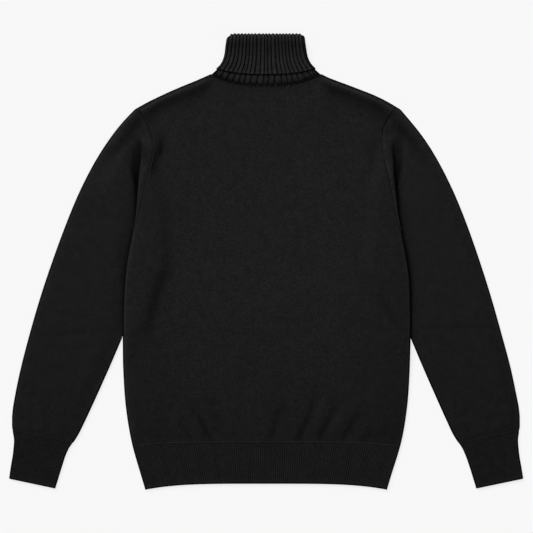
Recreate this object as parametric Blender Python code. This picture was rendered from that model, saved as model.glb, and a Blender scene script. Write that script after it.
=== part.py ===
"""Turtleneck sweater laid flat with its back up, sleeves beside the body.

Sizes are in millimetres and become metres when a mesh is made. +X is to the right, +Y towards the roll
neck, +Z up; the origin is on the surface, under the middle of the garment's box. "Left" is the -X side.
Each pair of cloth walls that lies flat (back on front, or the two walls of a sleeve) follows one middle
surface, and a wall is made by moving that surface's points out by half a gap and by the cloth's thickness.
"""

import math

import bpy
import numpy as np

MM = 0.001

# Cloth.
WALL = 1.6
GAP = 0.3
RIB_WALL = 1.8
NEAR_SKIN = GAP / 2
FAR_SKIN = GAP / 2 + WALL
REST = FAR_SKIN

SIDES = {"left": -1, "right": 1}

# Outlines: distance from the centre line at each height, on the left and on the right.
ARM_OUTER = (
    ("height", "left", "right"),
    (260, 214.3, 218.2),
    (255, 221.6, 226),
    (250, 226.5, 230.5),
    (240, 236, 239),
    (225, 249, 251.5),
    (205, 264, 266.5),
    (180, 280.5, 282.5),
    (150, 297.5, 299),
    (110, 317, 318),
    (60, 337.5, 338),
    (0, 359.5, 359),
    (-60, 379.5, 378),
    (-120, 397, 395),
    (-180, 412.5, 411),
    (-220, 421, 419.5),
    (-250, 426, 425),
    (-264, 427, 426),
    (-276, 427, 426),
    (-286, 425.5, 424.5),
    (-300, 423.5, 423),
    (-320, 425, 424.5),
    (-345, 429, 428.5),
    (-366, 432, 432),
)
ARM_INNER = (
    ("height", "left", "right"),
    (-11, 190, 191),
    (-38, 202, 203),
    (-68, 216, 217),
    (-98, 229.5, 230.5),
    (-128, 243, 243.5),
    (-180, 265.5, 265.5),
    (-240, 292.5, 292),
    (-270, 306.5, 305.5),
    (-290, 316.5, 315),
    (-302, 324, 322.5),
    (-312, 331.5, 329.5),
    (-325, 337.5, 335.5),
    (-345, 344, 342.5),
    (-366, 350.5, 349),
    (-382, 355.5, 354),
)
ARMHOLE = (
    ("height", "left", "right"),
    (221.4, 195.6, 196.6),
    (204.6, 191, 194.5),
    (187.8, 190.8, 195.2),
    (171, 192.7, 198.2),
    (151, 197.7, 203),
    (127, 203.6, 208.8),
    (104, 208.7, 213.7),
    (84, 212.9, 217.3),
    (66, 217, 220.2),
)
SIDE_FOLD = (
    ("height", "left", "right"),
    (221.4, 209.5, 212.5),
    (187.8, 210.3, 214.7),
    (171, 210.7, 216),
    (151, 213.5, 217.7),
    (127, 215.4, 219.4),
    (104, 217.2, 220.6),
    (84, 219.6, 222.7),
    (66, 221.6, 224.7),
    (33, 228.8, 229.8),
    (10, 235, 234.9),
    (-10, 236.5, 237.7),
    (-38, 238.4, 241.1),
    (-98, 240.9, 242.3),
    (-160, 240.5, 241.5),
    (-200, 239, 240),
    (-230, 237, 238),
    (-260, 233.5, 234.5),
    (-290, 228.5, 229.5),
    (-310, 223.5, 224.5),
    (-360, 209, 209),
    (-383, 202.3, 202.3),
)
SHOULDER = (
    ("out", "left", "right"),
    (92, 315.6, 315.6),
    (105, 309.8, 309.2),
    (120, 303.3, 303.4),
    (140, 295.2, 296),
    (160, 286.6, 288.3),
    (180, 277.4, 280.4),
    (200, 267.6, 270.8),
    (214.9, 259.4, 262.4),
    (217.7, 258, 260.5),
)
SHOULDER_POINT = {"left": (214.9, 259.4), "right": (217.7, 260.5)}

# Neck seam: a shallow curve behind, a deeper one in front.
NECK_HALF = 92
NECK_TOP = 315.6
NECK_DROP_BACK = 20
NECK_POWER = 2.85
NECK_DROP_FRONT = 28

# Hem band.
HEM_SEAM = -302.7
HEM_SEAM_DROOP = 8
HEM_SEAM_POWER = 5
HEM_END = -372.6
HEM_END_DROOP = 10
HEM_END_POWER = 4
HEM_RIBS = 119
HEM_ROWS = (
    ("down", "rib"),
    (0, 0),
    (0.08, 0.5),
    (0.93, 0.5),
    (1, 0),
)

# Pleat that lets the sleeve lie beside the body: the two walls turn up and back by "turn" degrees at
# radius "bend", run under the body for "run", and turn out again. "lift" is how far the body's walls
# ride up on it, level for "level" inwards from the side fold and then falling over "fall".
PLEAT = (
    ("height", "turn", "bend", "run"),
    (204.6, 50, 5, 0.3),
    (187.8, 110, 2.6, 0.3),
    (171, 155, 2, 0.3),
    (151, 180, 1.9, 0.5),
    (127, 180, 1.9, 4.8),
    (104, 180, 1.9, 9),
    (84, 180, 1.9, 12.5),
    (66, 180, 1.9, 15),
)
RIDE = (
    ("height", "lift", "level", "fall"),
    (262, 0, 6, 20),
    (221.4, 0, 6, 20),
    (204.6, 3.8, 4, 22),
    (187.8, 7.0, 4, 26),
    (171, 7.7, 6, 30),
    (151, 7.6, 14, 30),
    (127, 7.6, 22, 30),
    (104, 7.6, 27, 30),
    (84, 7.6, 31, 30),
    (66, 7.6, 35, 30),
    (33, 7.6, 44, 30),
    (10, 7.6, 53, 28),
    (-12, 7.6, 56, 26),
    (-38, 3.8, 44, 24),
    (-68, 3.8, 33, 24),
    (-98, 3.8, 21, 24),
    (-128, 3.8, 8, 26),
    (-155, 2.4, 3, 26),
    (-185, 1.1, 0, 24),
    (-215, 0.3, 0, 20),
    (-240, 0, 0, 20),
    (-320, 0, 0, 20),
)

# Sleeve rows, from the armhole to the cuff seam: heights of the outer and the inner end.
OPEN_ROWS = (
    ("outer", "inner"),
    (None, 221.4),
    (243, 204.6),
    (222, 187.8),
    (196, 171),
    (168, 151),
    (136, 127),
    (108, 104),
    (85, 84),
    (66, 66),
)
CLOSED_ROWS = (
    ("outer", "inner", "turn", "bend", "run"),
    (40, 40, 180, 1.9, 10),
    (18, 18, 180, 1.9, 1),
    (8, 8, 138, 2.15, 0.4),
    (-1, -1, 98, 2.9, 0.4),
    (-10, -10, 60, 4.6, 0.4),
    (-19, -19, 30, 8, 0.4),
    (-28, -28, 0, 9, 1.5),
    (-45, -45, 0, 14, 4),
    (-85, -85, 0, 24, 7),
    (-126, -126, 0, 34, 10),
    (-160, -167, 0, 34, 10),
    (-198, -210, 0, 31, 9),
    (-232, -249, 0, 28, 8),
    (-258, -276, 0, 26, 7),
    (-272, -291, 0, 24, 7),
    (-283, -304.2, 0, 22, 6),
)
CUFF_ROWS = (
    ("outer", "inner", "rib"),
    (-283.3, -304.5, 0),
    (-290, -310.5, 0.45),
    (-323, -341, 0.45),
    (-360, -376.8, 0.45),
    (-364.5, -380.8, 0),
)
CUFF_RIBS = 24
CUFF_PLAIN = 5
NOSE_STEPS = 3

# Body rows, top to bottom: heights at the side and on the centre line, and how far the row still
# has the shape of the shoulders and neck.
BODY_ROWS = (
    ("side", "centre", "shape"),
    (None, None, 1),
    (252, 288, 0.97),
    (238, 274, 0.88),
    (221.4, 256, 0.7),
    (204.6, 236, 0.5),
    (187.8, 214, 0.3),
    (171, 190, 0.15),
    (151, 164, 0.05),
    (127, 135, 0),
    (104, 108, 0),
    (84, 85, 0),
    (66, 66, 0),
    (63.2, 62.5, 0),
    (33, 33, 0),
    (10, 10, 0),
    (-12, -12, 0),
    (-38, -38, 0),
    (-68, -68, 0),
    (-98, -98, 0),
    (-128, -128, 0),
    (-155, -155, 0),
    (-185, -185, 0),
    (-215, -215, 0),
)
GATHER_ROWS = (
    ("side", "centre"),
    (-240, -240),
    (-258, -257),
    (-276, -273),
    (-292, -288),
    (-303, -297),
    (None, None),
)
COLUMNS = (0, 0.08, 0.16, 0.24, 0.33, 0.426, 0.52, 0.61, 0.7, 0.78, 0.85, 0.91, 0.96, 1)
FRONT_COLUMNS = (0, 0.213, 0.426, 0.61, 0.7, 0.78, 0.85, 0.91, 0.96, 1)
FRONT_SKIPS = (-258, -292, -303)
NECK_COLUMN = 0.426
EDGE_COLUMN = 0.85
GATHER_COLUMNS = 56

# Loft: how far an upper wall stands off the one under it, away from its edges.
BODY_LOFT = 1.7
SLEEVE_LOFT = 2.4
EDGE_EASE = 60
LOFT_TAMED = 0.1

# Soft folds in the back: a trough (negative) or ridge from one end to the other, with its half width.
BODY_FOLDS = (
    ("x0", "y0", "x1", "y1", "half", "rise"),
    (-141, -274, -131, -292, 6, -0.9),
    (-113, -261, -98, -298, 7, -1.2),
    (-89, -244, -84, -275, 9, -0.7),
    (35, -220, 8, -295, 9, -1.2),
    (90, -193, 53, -297, 8, -1.6),
    (124, -219, 90, -297, 8, -1.6),
    (166, -237, 130, -297, 8, -1.2),
    (184, -269, 164, -295, 7, -1),
    (-173, 216, -190, 149, 9, -1.4),
    (183, 226, 178, 149, 9, -0.9),
)
SLEEVE_FOLDS = (
    ("out0", "y0", "out1", "y1", "half", "rise"),
    (222, 233, 250, 188, 8, -1.6),
    (214, 210, 236, 150, 10, 1.2),
)

# Roll neck, from the seam to the turn at its top and down to its free edge.
COLLAR_RIBS = 21
COLLAR_TOP = 382
COLLAR_CORNER = 8
COLLAR_CORNER_POWER = 10
ROLL_EDGE = 314.8
ROLL_EDGE_RISE = 8.5
ROLL_EDGE_POWER = 2.6
ROLL_OUTLINE = (
    ("height", "left", "right"),
    (320, 84.5, 83.5),
    (325.6, 82.2, 81.3),
    (332.3, 76.6, 75.6),
    (339, 73.1, 71.7),
    (345.7, 70.9, 69.2),
    (352.5, 69.4, 67.7),
    (365.9, 67.9, 65.7),
    (376, 66.6, 64.4),
    (384, 66, 63.8),
)
STAND_MID = NEAR_SKIN + RIB_WALL / 2
ROLL_MID = STAND_MID + RIB_WALL + GAP
COLLAR_REST = ROLL_MID + RIB_WALL / 2
COLLAR_LOW = STAND_MID + RIB_WALL / 2
ROLL_FLARE = 0.15
ROLL_BEND = 0.4
STEP_OVER = 1.3
STEP_UNDER = 2
RIB_STEPS = 3

# Finishes.
KNIT_COLOUR = (0.0125, 0.0122, 0.012, 1)
RIB_COLOUR = (0.0105, 0.0105, 0.011, 1)
KNIT_ROUGHNESS = 0.9


def column_of(table, name):
    """One named column of a table, without its heading."""
    place = table[0].index(name)
    return [row[place] for row in table[1:]]


def along(table, name, at):
    """A table's column read at any value of its first column, on a smooth curve through its rows."""
    keys = np.array(column_of(table, table[0][0]), float)
    values = np.array(column_of(table, name), float)
    order = np.argsort(keys)
    keys = keys[order]
    values = values[order]
    slopes = np.gradient(values, keys)
    at = min(max(at, keys[0]), keys[-1])
    i = int(np.clip(np.searchsorted(keys, at) - 1, 0, len(keys) - 2))
    step = keys[i + 1] - keys[i]
    t = (at - keys[i]) / step
    start = (2 * t**3 - 3 * t**2 + 1) * values[i] + (t**3 - 2 * t**2 + t) * step * slopes[i]
    end = (3 * t**2 - 2 * t**3) * values[i + 1] + (t**3 - t**2) * step * slopes[i + 1]
    return float(start + end)


def straight(table, name, at):
    """A table's column read on straight lines between its rows."""
    keys = np.array(column_of(table, table[0][0]), float)
    values = np.array(column_of(table, name), float)
    order = np.argsort(keys)
    return float(np.interp(at, keys[order], values[order]))


def ease(value):
    """0 below 0, 1 above 1, smooth between."""
    value = min(max(value, 0), 1)
    return value * value * (3 - 2 * value)


def folds_at(table, x, y):
    """Sum of a table's soft folds at a point, each fading at its ends and across its width."""
    total = 0
    for x0, y0, x1, y1, half, rise in table[1:]:
        run = math.hypot(x1 - x0, y1 - y0)
        along_fold = ((x - x0) * (x1 - x0) + (y - y0) * (y1 - y0)) / run
        across = ((x - x0) * (y1 - y0) - (y - y0) * (x1 - x0)) / run
        fade = 0.3 * run
        ends = ease((along_fold + 0.3 * fade) / fade) * ease((run - along_fold + 0.3 * fade) / fade)
        total += rise * ends * math.exp(-((across / half) ** 2))
    return total


def lift(side, out, height):
    """How high the body's pair of walls rides over its resting level, near its side fold."""
    top = straight(RIDE, "lift", height)
    inwards = straight(SIDE_FOLD, side, height) - out
    level = straight(RIDE, "level", height)
    fall = straight(RIDE, "fall", height)
    return top * (1 - ease((inwards - level) / fall))


def material(name, colour):
    """Knitted wool finish."""
    finish = bpy.data.materials.new(name)
    finish.use_nodes = True
    shader = finish.node_tree.nodes["Principled BSDF"]
    shader.inputs["Base Color"].default_value = colour
    shader.inputs["Roughness"].default_value = KNIT_ROUGHNESS
    shader.inputs["Metallic"].default_value = 0
    finish.diffuse_color = colour
    return finish


def add_object(name, points, faces, colour):
    """One closed solid from points in millimetres."""
    mesh = bpy.data.meshes.new(name)
    mesh.from_pydata([tuple(MM * v for v in point) for point in points], [], faces)
    mesh.validate()
    solid = bpy.data.objects.new(name, mesh)
    bpy.context.scene.collection.objects.link(solid)
    mesh.materials.append(material(name + "_knit", colour))
    mesh.shade_smooth()
    mesh.set_sharp_from_angle(angle=math.radians(50))
    return solid


def join_edges(first, second):
    """Triangles between two lists of (place along the edge, point number), each in rising order."""
    triangles = []
    i = 0
    j = 0
    while i < len(first) - 1 or j < len(second) - 1:
        step_first = j == len(second) - 1
        if i < len(first) - 1 and j < len(second) - 1:
            step_first = first[i + 1][0] <= second[j + 1][0]
        if step_first:
            triangles.append((first[i][1], first[i + 1][1], second[j][1]))
            i += 1
        else:
            triangles.append((first[i][1], second[j + 1][1], second[j][1]))
            j += 1
    return triangles


def wall_from_faces(name, faces, outer, inner, colour, flip):
    """Close a cloth wall: outer skin, inner skin, and a rim along each free edge.

    faces are rings of keys seen from outside; outer and inner give each key's point on the two skins.
    """
    keys = list(outer)
    number = {key: i for i, key in enumerate(keys)}
    shift = len(keys)
    points = [outer[key] for key in keys] + [inner[key] for key in keys]
    built = []
    edges = set()
    for face in faces:
        ring = [number[key] for key in face]
        corners = len(ring)
        for i in range(corners):
            edges.add((ring[i], ring[(i + 1) % corners]))
        for i in range(1, corners - 1):
            built.append((ring[0], ring[i], ring[i + 1]))
            built.append((ring[0] + shift, ring[i + 1] + shift, ring[i] + shift))
    for a, b in edges:
        if (b, a) not in edges:
            built.append((b, a, a + shift))
            built.append((b, a + shift, b + shift))
    if flip:
        built = [tuple(reversed(face)) for face in built]
    return add_object(name, points, built, colour)


# Body.


def body_edge(side, height):
    """The body's side: the armhole seam down to the underarm, then the side fold."""
    if height >= 66:
        if height > 221.4:
            top_out, top_height = SHOULDER_POINT[side]
            seam = straight(ARMHOLE, side, 221.4)
            share = (height - 221.4) / (top_height - 221.4)
            return seam + share * (top_out - seam) - GAP / 2
        return straight(ARMHOLE, side, height) - GAP / 2
    return along(SIDE_FOLD, side, height)


def side_name(t):
    return "left" if t < 0 else "right"


def neck_back(out):
    """Height of the back neck seam."""
    return NECK_TOP - NECK_DROP_BACK * (1 - (abs(out) / NECK_HALF) ** NECK_POWER)


def top_edge(t):
    """Point of the body's top edge: neck curve in the middle, shoulder seams outside it."""
    side = side_name(t)
    reach = abs(t)
    if reach <= NECK_COLUMN:
        out = NECK_HALF * reach / NECK_COLUMN
        return out, neck_back(out)
    point_out, point_height = SHOULDER_POINT[side]
    point_out -= GAP / 2
    out = NECK_HALF + (reach - NECK_COLUMN) / (1 - NECK_COLUMN) * (point_out - NECK_HALF)
    return out, along(SHOULDER, side, out) if reach < 1 else point_height


def spread(t, side, height):
    """Distance out at share t of a row: even up to the edge column, then on to the row's own edge."""
    reach = abs(t)
    fold = straight(SIDE_FOLD, side, height)
    if reach <= EDGE_COLUMN:
        return fold * reach
    start = fold * EDGE_COLUMN
    return start + (reach - EDGE_COLUMN) / (1 - EDGE_COLUMN) * (body_edge(side, height) - start)


def body_point(row, t):
    """Plan position (out from the centre line, height) of a body row at share t of its width."""
    side_height, centre_height, shape = row
    side = side_name(t)
    out, edge_height = top_edge(t)
    if side_height is None:
        return out, edge_height
    corner = SHOULDER_POINT[side][1]
    neck = neck_back(0)
    outline = (edge_height - neck) / (corner - neck)
    plain = abs(t) ** 1.6
    height = centre_height + (side_height - centre_height) * (shape * outline + (1 - shape) * plain)
    return spread(t, side, side_height), height


def gather_point(row, t):
    """Plan position on the rows just above the hem band."""
    side_height, centre_height = row
    if side_height is None:
        height = HEM_SEAM - HEM_SEAM_DROOP * abs(t) ** HEM_SEAM_POWER + GAP / 2
        side_height = HEM_SEAM - HEM_SEAM_DROOP + GAP / 2
    else:
        height = centre_height + (side_height - centre_height) * abs(t) ** HEM_SEAM_POWER
    return spread(t, side_name(t), side_height), height


def back_loft(side, out, height):
    """How far the back stands off the front."""
    in_from_side = straight(SIDE_FOLD, side, height) - out - 4
    if height > 221.4:
        in_from_side = body_edge(side, min(height, 255)) - out
    below_top = along(SHOULDER, side, max(out, NECK_HALF)) - height
    if out < NECK_HALF:
        below_top = neck_back(out) - height
    above_hem = height - HEM_SEAM
    plain = BODY_LOFT * ease(in_from_side / EDGE_EASE) * ease(below_top / 30) * ease(above_hem / 22)
    x = out if side == "right" else -out
    return max(0, plain + folds_at(BODY_FOLDS, x, height) * ease(below_top / 30))


def both_ways(columns):
    return [-t for t in reversed(columns[1:])] + list(columns)


def back_panel():
    outer = {}
    inner = {}
    faces = []
    wide = both_ways(COLUMNS)
    fine = [-1 + 2 * i / GATHER_COLUMNS for i in range(GATHER_COLUMNS + 1)]

    def put(key, t, plan):
        side = side_name(t)
        out, height = plan
        ride = lift(side, out, height)
        base = REST + ride + back_loft(side, out, height) * (1 - LOFT_TAMED * ride)
        x = out * SIDES[side]
        outer[key] = (x, height, base + FAR_SKIN)
        inner[key] = (x, height, base + NEAR_SKIN)

    rows = BODY_ROWS[1:]
    for r, row in enumerate(rows):
        for c, t in enumerate(wide):
            put((r, c), t, body_point(row, t))
    for r in range(len(rows) - 1):
        for c in range(len(wide) - 1):
            faces.append(((r, c), (r + 1, c), (r + 1, c + 1), (r, c + 1)))
    last = len(rows) - 1
    gathers = GATHER_ROWS[1:]
    for g, row in enumerate(gathers):
        for c, t in enumerate(fine):
            put(("g", g, c), t, gather_point(row, t))
    for g in range(len(gathers) - 1):
        for c in range(len(fine) - 1):
            faces.append((("g", g, c), ("g", g + 1, c), ("g", g + 1, c + 1), ("g", g, c + 1)))
    above = [(t, (last, c)) for c, t in enumerate(wide)]
    below = [(t, ("g", 0, c)) for c, t in enumerate(fine)]
    faces.extend(tuple(reversed(face)) for face in join_edges(above, below))
    return wall_from_faces("back_panel", faces, outer, inner, KNIT_COLOUR, False)


def front_panel():
    outer = {}
    inner = {}
    faces = []
    columns = both_ways(FRONT_COLUMNS)
    rows = [("body", row) for row in BODY_ROWS[1:]] + [("gather", row) for row in GATHER_ROWS[1:]]
    rows = [entry for entry in rows if entry[1][0] not in FRONT_SKIPS]
    for r, (kind, row) in enumerate(rows):
        for c, t in enumerate(columns):
            side = side_name(t)
            if kind == "body":
                out, height = body_point(row, t)
                deeper = NECK_DROP_FRONT * max(0, 1 - r / 7) * max(0, 1 - (t / NECK_COLUMN) ** 2)
                height -= deeper
            else:
                out, height = gather_point(row, t)
            base = REST + lift(side, out, height)
            x = out * SIDES[side]
            outer[(r, c)] = (x, height, base - FAR_SKIN)
            inner[(r, c)] = (x, height, base - NEAR_SKIN)
    for r in range(len(rows) - 1):
        for c in range(len(columns) - 1):
            faces.append(((r, c), (r, c + 1), (r + 1, c + 1), (r + 1, c)))
    return wall_from_faces("front_panel", faces, outer, inner, KNIT_COLOUR, False)


# Sleeves.


def turn_path(start, turn, bend, run):
    """Points of the pleat's path: an upward turn, a run, and a turn back level.

    Each point is (distance along the row, height, direction in radians). A turn of 0 makes the arcs
    straight, with bend as their length.
    """
    points = []
    along_row, height = start
    if turn == 0:
        for i in range(1, TURN_STEPS + 1):
            points.append((along_row + bend * i / TURN_STEPS, height, 0))
        points.append((along_row + bend + run, height, 0))
        for i in range(1, TURN_STEPS + 1):
            points.append((along_row + bend + run + bend * i / TURN_STEPS, height, 0))
        return points
    angle = math.radians(turn)
    for i in range(1, TURN_STEPS + 1):
        a = angle * i / TURN_STEPS
        points.append((along_row + bend * math.sin(a), height + bend * (1 - math.cos(a)), a))
    along_row, height, _ = points[-1]
    along_row += run * math.cos(angle)
    height += run * math.sin(angle)
    points.append((along_row, height, angle))
    centre_along = along_row + bend * math.sin(angle)
    centre_height = height - bend * math.cos(angle)
    for i in range(1, TURN_STEPS + 1):
        a = angle * (1 - i / TURN_STEPS)
        points.append((centre_along - bend * math.sin(a), centre_height + bend * math.cos(a), a))
    return points


def path_length(turn, bend, run):
    """How far along the row the pleat's path ends from where it starts."""
    if turn == 0:
        return 2 * bend + run
    angle = math.radians(turn)
    return 2 * bend * math.sin(angle) + run * math.cos(angle)


# Counts of points along a sleeve row, the lean of its hidden inner edge near the underarm, and how far
# the strip's cut end stands off the closed part below it.
SPAN_BACK = 8
SPAN_FRONT = 3
TURN_STEPS = 3
STRIP_STEPS = 2
NOSE_ANGLES = (60, 120)
UNDERARM_LEAN = 0.1
NOTCH = 1


def sleeve_loft(out, height, along_row, pleat_at, low):
    """How far the sleeve's upper wall stands off its lower one."""
    fade = ease(along_row / 26) * ease((pleat_at - 3 - along_row) / 24)
    return max(0, fade * (SLEEVE_LOFT * low + folds_at(SLEEVE_FOLDS, out, height)))


def sleeve(side):
    sign = SIDES[side]
    outer = {}
    inner = {}
    faces = []

    def put(key, plan, walk, point, angle, facing, loft):
        """Both skins of one point; facing is 1 on the upper wall and -1 on the lower."""
        along_row, height = point
        for skins, reach in ((outer, FAR_SKIN), (inner, NEAR_SKIN)):
            p = along_row - facing * reach * math.sin(angle)
            z = height + facing * reach * math.cos(angle) + loft
            skins[key] = (sign * (plan[0] + walk[0] * p), plan[1] + walk[1] * p, z)

    def row_frame(outer_height, end):
        start = (along(ARM_OUTER, side, outer_height), outer_height)
        span = math.dist(start, end)
        walk = ((end[0] - start[0]) / span, (end[1] - start[1]) / span)
        return start, walk, span

    def nose(r, tag, plan, walk, centre, angle, spin, down=0):
        """The rounded fold that closes a pair of walls."""
        for n, degrees in enumerate(NOSE_ANGLES):
            a = angle + spin * math.radians(90 - degrees)
            for skins, reach in ((outer, FAR_SKIN), (inner, NEAR_SKIN)):
                p = centre[0] + spin * reach * math.cos(a)
                z = centre[1] + spin * reach * math.sin(a)
                skins[(tag, r, n)] = (sign * (plan[0] + walk[0] * p), plan[1] + walk[1] * p - down, z)

    open_rows = OPEN_ROWS[1:]
    rows = [("open", row) for row in open_rows] + [("closed", row) for row in CLOSED_ROWS[1:]]
    last_open = len(open_rows) - 1
    back_keys = []
    front_keys = []
    for r, (kind, row) in enumerate(rows):
        if kind == "open":
            outer_height, seam_height = row
            seam = (straight(ARMHOLE, side, seam_height) + GAP / 2, seam_height)
            if outer_height is None:
                start = (SHOULDER_POINT[side][0] + GAP / 2, SHOULDER_POINT[side][1])
                span = math.dist(start, seam)
                walk = ((seam[0] - start[0]) / span, (seam[1] - start[1]) / span)
                turn, bend, run = 0, 5, 2
            else:
                start, walk, span = row_frame(outer_height, seam)
                turn = straight(PLEAT, "turn", seam_height)
                bend = straight(PLEAT, "bend", seam_height)
                run = straight(PLEAT, "run", seam_height)
            strip = (along(SIDE_FOLD, side, seam_height) - seam[0]) / abs(walk[0])
            if outer_height is None:
                strip = 10
            pleat_end = span - strip + bend + FAR_SKIN
            pleat_at = pleat_end - path_length(turn, bend, run)
            end_height = REST + lift(side, seam[0] - GAP, seam_height)
            low = ease((r + 0.2) / 3)
        else:
            outer_height, inner_height, turn, bend, run = row
            lean = UNDERARM_LEAN * max(0, inner_height - ARM_INNER[1][0])
            end = (along(ARM_INNER, side, inner_height) + lean, inner_height)
            start, walk, span = row_frame(outer_height, end)
            if turn == 0:
                pleat_at = span - FAR_SKIN - bend - run
            else:
                pleat_at = span - FAR_SKIN - bend * min(1, math.sin(math.radians(min(turn, 90))))
            low = 1 - 0.55 * ease((-200 - inner_height) / 90)
        fold_out = along(SIDE_FOLD, side, row[1])
        lofted_to = min(pleat_at, (start[0] - fold_out) / max(0.3, -walk[0]))
        if kind == "closed" and row[1] < -128:
            lofted_to = span - FAR_SKIN

        def upper(key, point, angle):
            place = (start[0] + walk[0] * point[0], start[1] + walk[1] * point[0])
            loft = sleeve_loft(place[0], place[1], point[0], lofted_to, low)
            if angle > 0.01:
                loft = 0
            put(key, start, walk, point, angle, 1, loft)

        reach = pleat_at - FAR_SKIN
        back = [(FAR_SKIN + reach * i / SPAN_BACK, REST, 0) for i in range(SPAN_BACK + 1)]
        front = [(FAR_SKIN + reach * i / SPAN_FRONT, REST, 0) for i in range(SPAN_FRONT + 1)]
        path = turn_path((pleat_at, REST), turn, bend, run)
        if kind == "open":
            strip_at, strip_height, _ = path[-1]
            for i in range(1, STRIP_STEPS + 1):
                share = i / STRIP_STEPS
                p = strip_at + share * (span - strip_at)
                z = strip_height + share * (end_height - strip_height)
                path.append((p, z, 0))
            back += path
            front += path
        else:
            back += path[: TURN_STEPS + 1]
            front += path[: TURN_STEPS + 1]
        for i, (p, z, angle) in enumerate(back):
            upper(("back", r, i), (p, z), angle)
        for i, (p, z, angle) in enumerate(front):
            put(("front", r, i), start, walk, (p, z), angle, -1, 0)
        nose(r, "fold", start, walk, (FAR_SKIN, REST), 0, -1)
        closing = back[SPAN_BACK + TURN_STEPS + 1]
        if kind == "closed" or r == last_open:
            nose(r, "end", start, walk, closing[:2], closing[2], 1, NOTCH if kind == "open" else 0)
        back_keys.append(len(back))
        front_keys.append(len(front))

    def quad(r, first, second):
        """A face between two places of a row and of the row below it."""
        places = [(first, r), (first, r + 1), (second, r + 1), (second, r)]
        faces.append(tuple((tag, row, i) for (tag, i), row in places))

    for r in range(len(rows) - 1):
        for i in range(min(back_keys[r], back_keys[r + 1]) - 1):
            quad(r, ("back", i), ("back", i + 1))
        for i in range(min(front_keys[r], front_keys[r + 1]) - 1):
            ring = [(i, r), (i + 1, r), (i + 1, r + 1), (i, r + 1)]
            faces.append(tuple(("front", row, place) for place, row in ring))
        loop = [("front", 0), ("fold", 1), ("fold", 0), ("back", 0)]
        for first, second in zip(loop[:-1], loop[1:]):
            quad(r, first, second)
        if r >= last_open:
            closing = SPAN_BACK + TURN_STEPS + 1
            loop = [("back", closing), ("end", 0), ("end", 1), ("front", SPAN_FRONT + TURN_STEPS + 1)]
            for first, second in zip(loop[:-1], loop[1:]):
                quad(r, first, second)
    return wall_from_faces("sleeve_" + side, faces, outer, inner, KNIT_COLOUR, sign > 0)


# Rib bands.


def hem_plan(t, v):
    """Plan position in the hem band, v from 0 at its seam to 1 at its free edge."""
    seam = HEM_SEAM - HEM_SEAM_DROOP * abs(t) ** HEM_SEAM_POWER - GAP / 2
    end = HEM_END - HEM_END_DROOP * abs(t) ** HEM_END_POWER
    height = seam + v * (end - seam)
    side_height = HEM_SEAM - HEM_SEAM_DROOP + v * (HEM_END - HEM_END_DROOP - HEM_SEAM + HEM_SEAM_DROOP)
    return t * along(SIDE_FOLD, side_name(t), side_height), height


def ribbed_band(name, plan, fine, coarse, rows, low, high):
    """A flat rib band: ribs raised on its upper skin, a plain lower skin, and rims between them."""
    points = []
    numbers = {}

    def add(key, point):
        numbers[key] = len(points)
        points.append(point)

    for r, (v, rib) in enumerate(rows):
        for c, t in enumerate(fine):
            x, y = plan(t, v)
            add(("top", r, c), (x, y, high + (rib if c % 2 else 0)))
        for c, t in enumerate(coarse):
            x, y = plan(t, v)
            add(("low", r, c), (x, y, low))
    faces = []
    for r in range(len(rows) - 1):
        for c in range(len(fine) - 1):
            a, b = numbers[("top", r, c)], numbers[("top", r + 1, c)]
            d, e = numbers[("top", r + 1, c + 1)], numbers[("top", r, c + 1)]
            faces.extend([(a, b, d), (a, d, e)])
        for c in range(len(coarse) - 1):
            a, b = numbers[("low", r, c)], numbers[("low", r + 1, c)]
            d, e = numbers[("low", r + 1, c + 1)], numbers[("low", r, c + 1)]
            faces.extend([(a, d, b), (a, e, d)])
        for c_top, c_low, turned in ((0, 0, False), (len(fine) - 1, len(coarse) - 1, True)):
            a, b = numbers[("top", r, c_top)], numbers[("top", r + 1, c_top)]
            d, e = numbers[("low", r + 1, c_low)], numbers[("low", r, c_low)]
            rim = [(a, e, d), (a, d, b)]
            faces.extend([tuple(reversed(f)) for f in rim] if turned else rim)
    last = len(rows) - 1
    for r, turned in ((0, False), (last, True)):
        upper = [(t, numbers[("top", r, c)]) for c, t in enumerate(fine)]
        lower = [(t, numbers[("low", r, c)]) for c, t in enumerate(coarse)]
        rim = join_edges(upper, lower)
        faces.extend([tuple(reversed(f)) for f in rim] if turned else rim)
    return add_object(name, points, faces, RIB_COLOUR)


def hem_bands():
    coarse = both_ways(FRONT_COLUMNS)
    intervals = 2 * HEM_RIBS
    fine = [-1 + 2 * i / intervals for i in range(intervals + 1)]
    plain = ((0, 0), (0.5, 0), (1, 0))
    ribbed_band("hem_back", hem_plan, fine, coarse, HEM_ROWS[1:], REST + NEAR_SKIN, REST + FAR_SKIN)
    ribbed_band("hem_front", hem_plan, coarse, coarse, plain, 0, WALL)


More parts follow.
